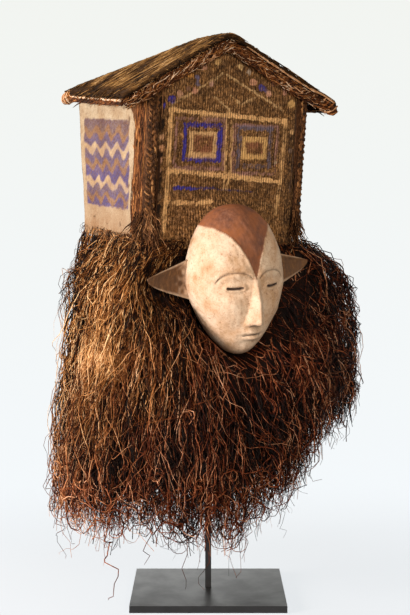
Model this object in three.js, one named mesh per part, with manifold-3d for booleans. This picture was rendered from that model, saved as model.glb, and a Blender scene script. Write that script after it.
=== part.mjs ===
import * as THREE from 'three';
import { mergeVertices } from 'three/addons/utils/BufferGeometryUtils.js';
import Module from 'manifold-3d';

// Helmet mask: a small woven house above a carved face, a skirt of roots below, on its stand.
// Millimetres, +Z up. The mask looks along -Y. The origin is under the middle of the base plate.

const wasm = await Module();
wasm.setup();

const { degToRad, lerp, smoothstep } = THREE.MathUtils;

// Driving dimensions
const gap = 0.3;                    // left between pieces that touch
const lean = degToRad(6.5);         // the house and the face lean forward on the rod
const pivotHeight = 600;            // the house frame's origin, above the plate
const houseShift = 2;               // the house sits this far to the right of the rod

const plate = { side: 200, thick: 9, turn: degToRad(-30) };
const rod = { side: 8, under: 13 };  // under: where the house frame's y meets the top of the rod

// In the house frame: x across, y to the back, z up from the pivot
const walls = {
  halfWidth: 114, front: -50, thick: 4, foot: -135,
  backAtTop: 161, backTop: 43, backAtFoot: 128,
  corner: 10,                       // kept free at each front corner for the plaited cord
  underRoof: { front: 3, side: 1.5, back: 2 },
};
const arch = { halfWidth: 44, halfHeight: 74 }; // cut in the front wall behind the face
const roof = {
  front: -64, back: 174, thick: 8, softness: 4,
  frontLeft: { x: -162, z: 56 }, frontRight: { x: 153, z: 60 },
  backLeft: { x: -133, z: 55 }, backRight: { x: 132, z: 56 },
  ridgeX: -15, ridgeHeight: 141, ridgeBack: -4,
  across: 20, along: 10,            // grid steps
};
const frontRoll = { radius: 6.2, y: -58, inset: 10, drop: 8.1, bends: 12, sides: 8 };
const eaveRoll = { radius: 4, inset: 5, start: -46, drop: 6.2, round: 12, sides: 6 };
const cane = { from: -39, width: 25, count: 3, depth: 5, foot: -112, top: 52 };
const braid = {
  radius: 5.6, lobe: 0.7, x: 113, y: -47, foot: -108, top: 50, pitch: 42, rings: 20, sides: 10,
};

// In the face frame: x across, y to the back, z up from the middle of the head
const head = {
  place: [-2, -82, -171], roll: degToRad(-4),
  halfHeight: 96, halfWidth: 66, frontDepth: 56, backDepth: 52, chinTaper: 0.32,
  axisMiddle: -3, axisLean: 4,      // the chin stands a little further forward than the crown
  rim: 31, wall: 9, clear: 4,       // clear: kept free between the head and the roots
};
const nose = { root: 3, base: -48, height: 17, rootHeight: 3, halfWidth: 13, rootHalfWidth: 5 };
const eye = { x: 27, z: -2, halfLength: 15, halfHeight: 7, swell: 3, slit: 9, slitHeight: 1.6 };
const socket = { halfWidth: 25, halfHeight: 15, depth: 5 };
const mouth = { z: -64, halfWidth: 17, lip: 4.5, swell: 4.5 };
const crest = { foot: 8, rise: 65, halfWidth: 60, bend: 2.8, step: 1.2 };
const ear = {
  rootX: 53, tipX: 119, halfHeight: 25, tip: 1, rootZ: 4, y: 6, thick: 5, dish: 7,
  rise: { left: 4, right: 9 }, pocket: 7,
};

// The root fringe hangs plumb, so it is shaped in the stand's own frame
const fringe = {
  top: 470, middle: [6, 20], sectors: 60, inner: 0.82,
  hem: 112, shortRise: 155, longRise: 15, shortSide: degToRad(-30), hemBend: 2.6,
  hollow: { halfWidth: 50, halfHeight: 80, length: 120 }, // open between the face and the inside
};
// Half sizes of the fringe from the collar (0) to the hem (1)
const fringeStations = [
  { at: 0.0, left: 128, right: 130, front: 66, back: 142, square: 10 },
  { at: 0.06, left: 131, right: 151, front: 72, back: 143, square: 8 },
  { at: 0.12, left: 144, right: 174, front: 81, back: 150, square: 6 },
  { at: 0.18, left: 160, right: 191, front: 88, back: 160, square: 4.2 },
  { at: 0.3, left: 172, right: 207, front: 98, back: 170, square: 3 },
  { at: 0.5, left: 186, right: 218, front: 124, back: 185, square: 2.3 },
  { at: 0.8, left: 204, right: 212, front: 158, back: 197, square: 2 },
  { at: 1.0, left: 201, right: 202, front: 160, back: 195, square: 2 },
];

// Geometry helpers
function geometryFrom(points, index) {
  const geometry = new THREE.BufferGeometry();
  geometry.setAttribute('position', new THREE.Float32BufferAttribute(points, 3));
  geometry.setIndex(index);
  return geometry;
}

function toSolid(geometry) {
  const bare = geometry.clone();
  bare.deleteAttribute('normal');
  bare.deleteAttribute('uv');
  const merged = mergeVertices(bare, 1e-4);
  const vertProperties = new Float32Array(merged.getAttribute('position').array);
  const triVerts = new Uint32Array(merged.getIndex().array);
  return new wasm.Manifold(new wasm.Mesh({ numProp: 3, vertProperties, triVerts }));
}

function toGeometry(solid) {
  const { vertProperties, triVerts } = solid.getMesh();
  return geometryFrom(Array.from(vertProperties), Array.from(triVerts));
}

function quad(index, a, b, c, d) {
  index.push(a, b, c, a, c, d);
}

// A closed slab between an upper and a lower grid of points
function slab(nu, nv, upper, lower) {
  const points = [];
  const index = [];
  const layer = (nu + 1) * (nv + 1);
  const up = (i, j) => j * (nu + 1) + i;
  const down = (i, j) => layer + up(i, j);
  for (const face of [upper, lower]) {
    for (let j = 0; j <= nv; j++) {
      for (let i = 0; i <= nu; i++) points.push(...face(i / nu, j / nv));
    }
  }
  for (let j = 0; j < nv; j++) {
    for (let i = 0; i < nu; i++) {
      quad(index, up(i, j), up(i + 1, j), up(i + 1, j + 1), up(i, j + 1));
      quad(index, down(i, j), down(i, j + 1), down(i + 1, j + 1), down(i + 1, j));
    }
  }
  for (let i = 0; i < nu; i++) {
    quad(index, down(i, 0), down(i + 1, 0), up(i + 1, 0), up(i, 0));
    quad(index, up(i, nv), up(i + 1, nv), down(i + 1, nv), down(i, nv));
  }
  for (let j = 0; j < nv; j++) {
    quad(index, up(0, j), up(0, j + 1), down(0, j + 1), down(0, j));
    quad(index, down(nu, j), down(nu, j + 1), up(nu, j + 1), up(nu, j));
  }
  return geometryFrom(points, index);
}

// A ring of closed profiles: point(i, j) with i round the profile and j round the axis
function ring(profileCount, ringCount, point) {
  const points = [];
  const index = [];
  const at = (i, j) => (j % ringCount) * profileCount + (i % profileCount);
  for (let j = 0; j < ringCount; j++) {
    for (let i = 0; i < profileCount; i++) points.push(...point(i, j));
  }
  for (let j = 0; j < ringCount; j++) {
    for (let i = 0; i < profileCount; i++) {
      quad(index, at(i, j), at(i, j + 1), at(i + 1, j + 1), at(i + 1, j));
    }
  }
  return geometryFrom(points, index);
}

// A closed barrel of rings, with a pole point at each end; the rings turn about +Z
function barrel(sides, rings, point, lowPole, highPole) {
  const points = [...lowPole, ...highPole];
  const index = [];
  const at = (i, j) => 2 + j * sides + (i % sides);
  for (let j = 0; j < rings; j++) {
    for (let i = 0; i < sides; i++) points.push(...point(i / sides, j / (rings - 1)));
  }
  for (let i = 0; i < sides; i++) {
    index.push(0, at(i + 1, 0), at(i, 0));
    index.push(1, at(i, rings - 1), at(i + 1, rings - 1));
    for (let j = 0; j < rings - 1; j++) {
      quad(index, at(i, j), at(i + 1, j), at(i + 1, j + 1), at(i, j + 1));
    }
  }
  return geometryFrom(points, index);
}

// A flat panel drawn in x and z, its front face at y = 0 and its back at y = thick
function panel(outline, thick) {
  const shape = new THREE.Shape(outline.map(([x, z]) => new THREE.Vector2(x, z)));
  const geometry = new THREE.ExtrudeGeometry(shape, { depth: thick, bevelEnabled: false });
  geometry.rotateX(Math.PI / 2);
  geometry.translate(0, thick, 0);
  return geometry;
}

// A round roll along a path
function roll(points, radius, steps, sides) {
  const section = new THREE.Shape();
  section.absarc(0, 0, radius, 0, Math.PI * 2, false);
  const path = new THREE.CatmullRomCurve3(points.map((p) => new THREE.Vector3(...p)), false, 'centripetal');
  const curveSegments = sides / 2;
  return new THREE.ExtrudeGeometry(section, { extrudePath: path, steps, curveSegments });
}

function named(name, geometry, color, roughness, metalness = 0) {
  const material = new THREE.MeshStandardMaterial({ color, roughness, metalness });
  const mesh = new THREE.Mesh(geometry, material);
  mesh.name = name;
  return mesh;
}

// Roof: left, right and back slopes that meet in a short ridge, softened where they meet
function slope(a, b, c) {
  const plane = new THREE.Plane().setFromCoplanarPoints(...[a, b, c].map((p) => new THREE.Vector3(...p)));
  const { normal, constant } = plane;
  return (x, y) => -(normal.x * x + normal.y * y + constant) / normal.z;
}

const eaveCorners = {
  frontLeft: [roof.frontLeft.x, roof.front, roof.frontLeft.z],
  frontRight: [roof.frontRight.x, roof.front, roof.frontRight.z],
  backLeft: [roof.backLeft.x, roof.back, roof.backLeft.z],
  backRight: [roof.backRight.x, roof.back, roof.backRight.z],
};
const ridgeFront = [roof.ridgeX, roof.front, roof.ridgeHeight];
const ridgeBack = [roof.ridgeX, roof.ridgeBack, roof.ridgeHeight];
const slopes = [
  slope(ridgeFront, eaveCorners.frontLeft, eaveCorners.backLeft),
  slope(ridgeFront, eaveCorners.frontRight, eaveCorners.backRight),
  slope(ridgeBack, eaveCorners.backLeft, eaveCorners.backRight),
];

function roofTop(x, y) {
  const sum = slopes.reduce((total, height) => total + Math.exp(-height(x, y) / roof.softness), 0);
  return -roof.softness * Math.log(sum);
}

function roofUnder(x, y) {
  return roofTop(x, y) - roof.thick;
}

function roofPlace(u, v) {
  const left = lerp(roof.frontLeft.x, roof.backLeft.x, v);
  const right = lerp(roof.frontRight.x, roof.backRight.x, v);
  return [lerp(left, right, u), lerp(roof.front, roof.back, v)];
}

function makeRoofMat() {
  const skin = (height) => (u, v) => {
    const [x, y] = roofPlace(u, v);
    return [x, y, height(x, y)];
  };
  return slab(roof.across, roof.along, skin(roofTop), skin(roofUnder));
}

function makeFrontRoll() {
  const { radius, y, inset, drop, bends, sides } = frontRoll;
  const from = roof.frontLeft.x + inset;
  const to = roof.frontRight.x - inset;
  const points = [];
  for (let i = 0; i <= bends; i++) {
    const x = lerp(from, to, i / bends);
    points.push([x, y, roofUnder(x, y) - drop]);
  }
  return roll(points, radius, bends * 2, sides);
}

function makeEaveRoll() {
  const { radius, inset, start, drop, round, sides } = eaveRoll;
  const points = [];
  const add = (x, y) => points.push([x, y, roofUnder(x, y) - drop]);
  const sideX = (side, y) => {
    const v = (y - roof.front) / (roof.back - roof.front);
    const [edge] = roofPlace(side < 0 ? 0 : 1, v);
    return edge - side * inset;
  };
  const end = roof.back - inset;
  const alongSide = [0, 1, 2, 3, 4].map((k) => lerp(start, end - round, k / 4));
  for (const y of alongSide) add(sideX(-1, y), y);
  for (const x of [-110, -40, 40, 110]) add(x, end);
  for (const y of alongSide.reverse()) add(sideX(1, y), y);
  return roll(points, radius, 40, sides);
}

// Walls
function backAt(z) {
  const t = (z - walls.foot) / (walls.backTop - walls.foot);
  return lerp(walls.backAtFoot, walls.backAtTop, t);
}

function makeFrontWall() {
  const half = walls.halfWidth - walls.corner + 1;
  const y = walls.front;
  const steps = 16;
  const top = [];
  for (let i = 0; i <= steps; i++) {
    const x = lerp(half, -half, i / steps);
    top.push([x, roofUnder(x, y) - walls.underRoof.front]);
  }
  const outline = [[-half, walls.foot], [half, walls.foot], ...top];
  const wallPanel = toSolid(panel(outline, walls.thick).translate(0, y, 0));
  const [x, , z] = head.place;
  const opening = new THREE.Shape();
  opening.absellipse(0, 0, arch.halfWidth, arch.halfHeight, 0, Math.PI * 2, false);
  const depth = walls.thick * 5;
  const cutter = new THREE.ExtrudeGeometry(opening, { depth, bevelEnabled: false, curveSegments: 16 });
  cutter.rotateX(Math.PI / 2);
  cutter.translate(x, y + walls.thick * 3, z);
  return toGeometry(wallPanel.subtract(toSolid(cutter)));
}

function makeSideWall(side) {
  const x = side * walls.halfWidth;
  const start = walls.front + walls.corner;
  const clear = walls.thick + gap;  // the back wall's thickness and the gap to it
  const steps = 8;
  const top = [];
  for (let i = 0; i <= steps; i++) {
    const y = lerp(walls.backAtTop - clear, start, i / steps);
    const under = Math.min(roofUnder(x, y), roofUnder(x - side * walls.thick, y));
    top.push([y, under - walls.underRoof.side]);
  }
  const corner = (z) => [backAt(z) - clear - 1, z];
  const outline = [[start, walls.foot], corner(walls.foot), corner(top[0][1] - walls.thick), ...top];
  const geometry = panel(outline, walls.thick);
  geometry.rotateZ(Math.PI / 2);
  geometry.translate(side < 0 ? x + walls.thick : x, 0, 0);
  return geometry;
}

function makeBackWall() {
  const half = walls.halfWidth;
  const under = Math.min(roofUnder(half, walls.backAtTop), roofUnder(-half, walls.backAtTop));
  const top = under - walls.underRoof.back;
  const slant = Math.atan2(walls.backAtTop - walls.backAtFoot, walls.backTop - walls.foot);
  const rise = (top - walls.foot) / Math.cos(slant);
  const geometry = panel([[-half, 0], [half, 0], [half, rise - 1], [-half, rise - 1]], walls.thick);
  geometry.translate(0, -walls.thick, 0);
  geometry.rotateX(-slant);
  geometry.translate(0, walls.backAtFoot, walls.foot);
  return geometry;
}

// Flat band of canes laid side by side, outside each side wall
function makeCane(side) {
  const section = new THREE.Shape();
  const each = cane.width / cane.count;
  section.moveTo(0, 0);
  section.lineTo(cane.width, 0);
  for (let i = cane.count - 1; i >= 0; i--) {
    const middle = (i + 0.5) * each;
    for (let k = 0; k <= 4; k++) {
      const angle = (k / 4) * Math.PI;
      section.lineTo(middle + Math.cos(angle) * each * 0.5, cane.depth * (0.45 + 0.55 * Math.sin(angle)));
    }
  }
  section.closePath();
  const geometry = new THREE.ExtrudeGeometry(section, { depth: cane.top - cane.foot, bevelEnabled: false });
  geometry.rotateZ(Math.PI / 2);
  const solid = toSolid(geometry.translate(-walls.halfWidth - gap, cane.from, cane.foot));
  return toGeometry(side < 0 ? solid : solid.mirror([1, 0, 0]));
}

// Plaited cord up each front corner, drawn as a twisted three-lobed bar
function makeBraid(side) {
  const at = (u, v) => {
    const z = lerp(braid.foot, braid.top, v);
    const angle = u * Math.PI * 2;
    const r = braid.radius + braid.lobe * Math.cos(3 * (angle - (z / braid.pitch) * Math.PI * 2));
    return [side * braid.x + r * Math.cos(angle), braid.y + r * Math.sin(angle), z];
  };
  const pole = (z) => [side * braid.x, braid.y, z];
  return barrel(braid.sides, braid.rings, at, pole(braid.foot), pole(braid.top));
}

// The face: an egg with a carved front, hollow and cut open behind
function bump(value, halfWidth) {
  const t = Math.min(1, Math.abs(value) / halfWidth);
  return (1 - t * t) ** 2;
}

function crestFoot(x) {
  const t = Math.min(1, Math.abs(x) / crest.halfWidth);
  return crest.foot + crest.rise * (1 - (1 - t) ** crest.bend);
}

function noseHeight(x, z) {
  const t = (nose.root - z) / (nose.root - nose.base);
  if (t < 0 || t > 1.08) return 0;
  const run = Math.min(1, t);
  const halfWidth = lerp(nose.rootHalfWidth, nose.halfWidth, run ** 1.3);
  const height = lerp(nose.rootHeight, nose.height, run);
  const under = t > 1 ? 1 - (t - 1) / 0.08 : 1;
  return height * under * Math.max(0, 1 - Math.abs(x) / halfWidth) ** 0.8;
}

// How far the carving stands forward of the plain egg
function carving(x, z) {
  const side = Math.abs(x);
  const hollow = bump(side - eye.x, socket.halfWidth) * bump(z - eye.z, socket.halfHeight) * socket.depth;
  const lid = bump(side - eye.x, eye.halfLength) * bump(z - eye.z, eye.halfHeight) * eye.swell;
  const upper = bump(x, mouth.halfWidth) * bump(z - mouth.z - mouth.lip * 0.9, mouth.lip) * mouth.swell;
  const lower = bump(x, mouth.halfWidth * 0.85) * bump(z - mouth.z + mouth.lip, mouth.lip) * mouth.swell;
  const field = z < crestFoot(x) ? 0 : -crest.step;
  return noseHeight(x, z) - hollow + lid + upper + lower + field;
}

function headPoint(longitude, latitude, shrink, carved) {
  const s = Math.sin(latitude);
  const c = Math.cos(latitude);
  const taper = s > 0 ? c ** 0.92 : c * (1 - head.chinTaper * (-s) ** 1.2);
  const width = (head.halfWidth - shrink) * taper;
  const forward = Math.cos(longitude);
  const depth = (forward > 0 ? head.frontDepth : head.backDepth) - shrink;
  const x = width * Math.sin(longitude);
  const z = (head.halfHeight - shrink) * s;
  const y = head.axisMiddle + head.axisLean * s - depth * c ** 0.9 * forward;
  const relief = carved && forward > 0 ? carving(x, z) * smoothstep(forward, 0, 0.35) : 0;
  return [x, y - relief, z];
}

// Grid lines lie closer together on the carved front; the last rings stop just short of the poles
function headGeometry(sides, rings, shrink, carved) {
  const even = carved ? 0.42 : 1;
  const reach = 0.985 * Math.PI / 2;
  const at = (u, v) => {
    const turn = u * 2 - 1;
    const longitude = Math.PI * (even * turn + (1 - even) * turn ** 3);
    return headPoint(longitude, lerp(-reach, reach, v), shrink, carved);
  };
  const low = headPoint(0, -Math.PI / 2, shrink, false);
  const high = headPoint(0, Math.PI / 2, shrink, false);
  return barrel(sides, rings, at, low, high);
}

// Flat pointed ear, dished to the front, or the room kept free around it among the roots
function makeEar(side, room = 0) {
  const rise = side < 0 ? ear.rise.left : ear.rise.right;
  const skin = (offset) => (u, v) => {
    const across = v * 2 - 1;
    const half = ear.halfHeight * (1 - u) ** 0.85 + ear.tip + room;
    const hollow = room > 0 ? 0 : ear.dish * (1 - across * across) * (1 - u) * smoothstep(u, 0, 0.2);
    const x = lerp(ear.rootX, ear.tipX + room, u);
    return [side * x, ear.y + hollow + offset, ear.rootZ + rise * u + across * half];
  };
  const front = skin(-room);
  const back = skin(ear.thick + room);
  const [steps, rows] = room > 0 ? [4, 1] : [8, 6];
  return side > 0 ? slab(steps, rows, front, back) : slab(steps, rows, back, front);
}

function box(width, depth, height, x, y, z) {
  return toSolid(new THREE.BoxGeometry(width, depth, height).translate(x, y, z));
}

function makeFace() {
  const outer = toSolid(headGeometry(42, 33, 0, true));
  const inner = toSolid(headGeometry(18, 13, head.wall, false));
  let face = outer.subtract(inner);
  for (const side of [-1, 1]) face = face.add(toSolid(makeEar(side)).subtract(inner));
  const deep = head.frontDepth;
  for (const side of [-1, 1]) {
    face = face.subtract(box(eye.slit * 2, deep, eye.slitHeight, side * eye.x, -deep, eye.z - 1));
  }
  const large = head.halfHeight * 4;
  const behind = box(large, large, large, 0, head.rim + large / 2, 0);
  return toGeometry(face.subtract(behind));
}

// Root fringe
function station(at) {
  const after = Math.max(1, fringeStations.findIndex((s) => s.at >= at));
  const a = fringeStations[after - 1];
  const b = fringeStations[after];
  const t = smoothstep(at, a.at, b.at) * 0.4 + ((at - a.at) / (b.at - a.at)) * 0.6;
  const between = (key) => lerp(a[key], b[key], t);
  return {
    left: between('left'), right: between('right'), front: between('front'),
    back: between('back'), square: between('square'),
  };
}

function hemHeight(angle) {
  const toShortSide = Math.cos(angle - fringe.shortSide);
  const rise = toShortSide > 0 ? fringe.shortRise : fringe.longRise;
  const ragged = 5 * Math.sin(angle * 7) + 4 * Math.sin(angle * 12 + 1);
  return fringe.hem + rise * Math.abs(toShortSide) ** fringe.hemBend + ragged;
}

function fringePoint(angle, at, scale) {
  const { left, right, front, back, square } = station(at);
  const c = Math.cos(angle);
  const s = Math.sin(angle);
  const power = 2 / square;
  const locks = at * (4 * Math.sin(angle * 18) + 3 * Math.sin(angle * 11 + 2));
  const halfX = (c < 0 ? left : right) * scale + locks;
  const halfY = (s < 0 ? front : back) * scale + locks;
  const x = fringe.middle[0] + halfX * Math.sign(c) * Math.abs(c) ** power;
  const y = fringe.middle[1] + halfY * Math.sign(s) * Math.abs(s) ** power;
  const top = fringe.top + y * Math.sin(lean);
  return [x, y, lerp(top, hemHeight(angle), at)];
}

function makeFringe(faceCutters) {
  const outerRows = [1, 0.9, 0.78, 0.66, 0.54, 0.42, 0.3, 0.2, 0.1, 0];
  const innerRows = [0, 0.12, 0.3, 0.55, 0.8, 1];
  const profile = [
    ...outerRows.map((at) => ({ at, scale: 1 })),
    ...innerRows.map((at) => ({ at, scale: lerp(0.965, fringe.inner, smoothstep(at, 0, 0.35)) })),
  ];
  const at = (i, j) => {
    const angle = (j / fringe.sectors) * Math.PI * 2;
    return fringePoint(angle, profile[i].at, profile[i].scale);
  };
  let solid = toSolid(ring(profile.length, fringe.sectors, at));
  for (const cutter of faceCutters) solid = solid.subtract(cutter);
  return toGeometry(solid);
}

// Stand
function makePlate() {
  return new THREE.BoxGeometry(plate.side, plate.side, plate.thick).translate(0, 0, plate.thick / 2);
}

function makeRod(top) {
  const foot = plate.thick + gap;
  return new THREE.BoxGeometry(rod.side, rod.side, top - foot).translate(0, 0, (top + foot) / 2);
}

// Assembly
const mask = new THREE.Group();

const stand = new THREE.Group();
stand.rotation.z = plate.turn;
stand.add(named('stand_base_plate', makePlate(), 0x17171a, 0.45, 0.4));

const houseFrame = new THREE.Group();
houseFrame.position.set(houseShift, 0, pivotHeight);
houseFrame.rotation.x = lean;

const faceFrame = new THREE.Group();
faceFrame.position.set(...head.place);
faceFrame.rotation.y = head.roll;
houseFrame.add(faceFrame);
mask.add(stand, houseFrame);
mask.updateMatrixWorld(true);

// The rod ends just under the roof mat above it
const underRoof = new THREE.Vector3(0, rod.under, roofUnder(0, rod.under + rod.side));
houseFrame.localToWorld(underRoof);
stand.add(named('stand_rod', makeRod(underRoof.z - 1), 0x17171a, 0.45, 0.4));

houseFrame.add(named('front_wall', makeFrontWall(), 0x4a3624, 0.95));
houseFrame.add(named('left_wall', makeSideWall(-1), 0xd9c3a0, 0.95));
houseFrame.add(named('right_wall', makeSideWall(1), 0xd9c3a0, 0.95));
houseFrame.add(named('back_wall', makeBackWall(), 0x8a7350, 0.95));
houseFrame.add(named('corner_cane_left', makeCane(-1), 0x8a5a30, 0.8));
houseFrame.add(named('corner_cane_right', makeCane(1), 0x8a5a30, 0.8));
houseFrame.add(named('corner_braid_left', makeBraid(-1), 0x3a2a1e, 0.95));
houseFrame.add(named('corner_braid_right', makeBraid(1), 0x3a2a1e, 0.95));
houseFrame.add(named('roof_mat', makeRoofMat(), 0x8a744a, 0.9));
houseFrame.add(named('roof_front_roll', makeFrontRoll(), 0x5a3420, 0.95));
houseFrame.add(named('eave_binding', makeEaveRoll(), 0xa08258, 0.95));
faceFrame.add(named('carved_face', makeFace(), 0xe6d6bd, 0.75));

// The fringe keeps clear of the face and leaves its hollow open to the inside
const pocket = headGeometry(32, 21, -head.clear, false);
const before = pocket.clone().scale(1, 2.2, 1);
const { halfWidth, halfHeight, length } = fringe.hollow;
const hollow = new THREE.CylinderGeometry(1, 1, length, 24).scale(halfWidth, 1, halfHeight);
hollow.translate(0, length / 2, 0);
const cutters = [pocket, before, hollow, makeEar(-1, ear.pocket), makeEar(1, ear.pocket)];
const placed = cutters.map((geometry) => toSolid(geometry.applyMatrix4(faceFrame.matrixWorld)));
mask.add(named('root_fringe', makeFringe(placed), 0x4a2a18, 0.95));

export default mask;
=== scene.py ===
import math

import bpy
import numpy as np
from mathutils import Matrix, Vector


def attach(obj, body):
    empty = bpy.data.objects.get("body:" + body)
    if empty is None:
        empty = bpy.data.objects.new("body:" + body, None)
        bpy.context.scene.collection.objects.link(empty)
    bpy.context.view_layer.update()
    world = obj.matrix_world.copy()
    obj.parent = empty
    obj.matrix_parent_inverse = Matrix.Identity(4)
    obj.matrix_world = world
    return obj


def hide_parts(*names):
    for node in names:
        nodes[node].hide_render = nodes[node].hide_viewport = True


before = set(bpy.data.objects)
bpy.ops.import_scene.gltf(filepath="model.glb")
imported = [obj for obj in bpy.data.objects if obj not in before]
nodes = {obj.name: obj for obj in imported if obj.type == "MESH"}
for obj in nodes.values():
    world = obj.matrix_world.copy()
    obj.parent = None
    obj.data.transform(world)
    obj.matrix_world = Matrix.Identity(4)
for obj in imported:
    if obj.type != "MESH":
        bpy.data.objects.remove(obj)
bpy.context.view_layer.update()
collection = bpy.context.scene.collection

# Camera
# The mask is seen from 30 degrees to the left of its front, slightly from above and through a
# long lens. The frame is upright, so the sensor's width lies along the frame's height.
FRAME_HEIGHT = 615                  # in pixels
FOCAL_LENGTH = 1430                 # in pixels too
camera_data = bpy.data.cameras.new("camera")
camera_data.sensor_width = 36
camera_data.lens = camera_data.sensor_width * FOCAL_LENGTH / FRAME_HEIGHT
camera = bpy.data.objects.new("camera", camera_data)
camera.location = (-0.9449, -1.6282, 0.4858)
camera.rotation_euler = (math.radians(86.82), 0, math.radians(-30))
collection.objects.link(camera)
bpy.context.scene.camera = camera
bpy.context.scene.view_settings.view_transform = "Standard"


# Studio
# A pale paper floor that fades into a pale background, a soft key light at the left of the
# picture, a weaker one in front, a faint one behind and a little light from all round.
def linear(code):
    """The linear colour of an sRGB hex code."""
    parts = [int(code[i:i + 2], 16) / 255 for i in (1, 3, 5)]
    return (*[c / 12.92 if c < 0.0405 else ((c + 0.055) / 1.055) ** 2.4 for c in parts], 1)


def add(tree, kind, inputs=None, stops=(), **settings):
    """Adds a node with its settings. An input is a value, a hex colour, a socket or a node, which
    stands for its first output in use. The stops of a colour ramp are places and hex colours."""
    node = tree.nodes.new(kind)
    for name, value in settings.items():
        setattr(node, name, value)
    for name, value in (inputs or {}).items():
        if isinstance(value, bpy.types.Node):
            value = next(socket for socket in value.outputs if socket.enabled)
        if isinstance(value, bpy.types.NodeSocket):
            tree.links.new(value, node.inputs[name])
        elif isinstance(value, str) and value.startswith("#"):
            node.inputs[name].default_value = linear(value)
        else:
            node.inputs[name].default_value = value
    if stops:
        bands = node.color_ramp.elements
        while len(bands) < len(stops):
            bands.new(1)
        for band, (place, code) in zip(bands, stops):
            band.position = place
            band.color = linear(code)
    return node


# A colour mix's sockets have names that its other kinds share, so they go by number
FACTOR, FIRST, SECOND = 0, 6, 7
MIX = {"data_type": "RGBA"}


def new_material(name):
    """An empty node material, its tree and its object coordinates."""
    material = bpy.data.materials.new(name)
    material.use_nodes = True
    tree = material.node_tree
    tree.nodes.clear()
    return material, tree, add(tree, "ShaderNodeTexCoord").outputs["Object"]


def pale_floor():
    """White studio paper, clear beyond its soft edge so that no horizon shows."""
    material, tree, place = new_material("white studio paper")
    away = add(tree, "ShaderNodeVectorMath", {0: place}, operation="LENGTH").outputs["Value"]
    edge = add(tree, "ShaderNodeMapRange", {
        "Value": away, "From Min": 0.15, "From Max": 0.9, "To Min": 0.8}, interpolation_type="SMOOTHSTEP")
    paper = add(tree, "ShaderNodeBsdfDiffuse", {"Color": "#f2f6ff"})
    clear = add(tree, "ShaderNodeBsdfTransparent")
    mixed = add(tree, "ShaderNodeMixShader", {0: edge, 1: paper, 2: clear})
    add(tree, "ShaderNodeOutputMaterial", {"Surface": mixed})
    return material


floor_mesh = bpy.data.meshes.new("studio_floor")
FLOOR_HALF, FLOOR_LEVEL = 1.2, -0.0005
floor_corners = [(x * FLOOR_HALF, y * FLOOR_HALF, FLOOR_LEVEL)
                 for x, y in ((-1, -1), (1, -1), (1, 1), (-1, 1))]
floor_mesh.from_pydata(floor_corners, [], [(0, 1, 2, 3)])
floor_mesh.materials.append(pale_floor())
floor = bpy.data.objects.new("studio_floor", floor_mesh)
collection.objects.link(floor)


AIM = Vector((0, 0, 0.42))          # the middle of the mask


def soft_light(name, azimuth, height, distance, size, power, tint):
    """A square soft light aimed at the mask; azimuth 0 is straight in front of the face."""
    data = bpy.data.lights.new(name, "AREA")
    data.size = size
    data.energy = power
    data.color = linear(tint)[:3]
    turn = math.radians(azimuth)
    place = Vector((math.sin(turn) * distance, -math.cos(turn) * distance, height))
    light = bpy.data.objects.new(name, data)
    light.location = place
    light.rotation_euler = (AIM - place).to_track_quat("-Z", "Y").to_euler()
    collection.objects.link(light)


soft_light("key", -86, 0.56, 2.0, 0.6, 66, "#fff2e4")
soft_light("front", -16, 0.95, 2.6, 0.9, 38, "#fff0da")
soft_light("back", 160, 1.4, 2.4, 1.2, 10, "#ffffff")

AMBIENT = 0.18                      # the room's light on the mask; mirrored and seen, it is 1
world = bpy.data.worlds.new("pale studio")
bpy.context.scene.world = world
world.use_nodes = True
tree = world.node_tree
tree.nodes.clear()
way = add(tree, "ShaderNodeTexCoord").outputs["Generated"]
direction = add(tree, "ShaderNodeSeparateXYZ", {0: way}).outputs["Z"]
height = add(tree, "ShaderNodeMapRange", {"Value": direction, "From Min": -0.3, "From Max": 0.2})
pale = add(tree, "ShaderNodeValToRGB", {"Fac": height}, stops=[(0, "#f5faff"), (1, "#f2f4ef")])
rays = add(tree, "ShaderNodeLightPath").outputs
seen = add(tree, "ShaderNodeMath", {
    0: rays["Is Camera Ray"], 1: rays["Is Glossy Ray"]}, operation="MAXIMUM")
strength = add(tree, "ShaderNodeMapRange", {"Value": seen, "To Min": AMBIENT})
tinted = add(tree, "ShaderNodeMix", {FACTOR: seen, FIRST: "#ffebca", SECOND: pale}, **MIX)
background = add(tree, "ShaderNodeBackground", {"Color": tinted, "Strength": strength})
add(tree, "ShaderNodeOutputWorld", {"Surface": background})


# Stand
# A square steel plate and a square steel bar, both cut, ground and sprayed satin black. The
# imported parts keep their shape; their edges are crisp.
def surface(tree, colour, roughness, relief, depth_mm, specular):
    """The shader and its output: colour and roughness, bumped by a relief of depth_mm."""
    bump_node = add(tree, "ShaderNodeBump", {
        "Height": relief, "Strength": 1.0, "Distance": depth_mm / 1000})
    shader = add(tree, "ShaderNodeBsdfPrincipled", {
        "Base Color": colour, "Roughness": roughness, "Specular IOR Level": specular, "Normal": bump_node})
    add(tree, "ShaderNodeOutputMaterial", {"Surface": shader})


def black_steel():
    """Satin black spray on steel: near black head on, grey where it mirrors the pale room."""
    material, tree, place = new_material("satin black sprayed steel")
    dust, haze, spray = (add(tree, "ShaderNodeTexNoise", {
        "Vector": place, "Scale": 1000 / size_mm, "Detail": detail, "Roughness": 0.6})
        for size_mm, detail in ((14, 5), (30, 3), (0.8, 3)))
    colour = add(tree, "ShaderNodeValToRGB", {"Fac": dust}, stops=[(0.3, "#101012"), (0.75, "#1c1c20")])
    rough = add(tree, "ShaderNodeMapRange", {
        "Value": haze, "From Min": 0.3, "From Max": 0.7, "To Min": 0.34, "To Max": 0.44})
    surface(tree, colour, rough, spray, 0.02, 0.36)
    return material


steel = black_steel()
for name in ("stand_base_plate", "stand_rod"):
    nodes[name].data.materials.clear()
    nodes[name].data.materials.append(steel)


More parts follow.
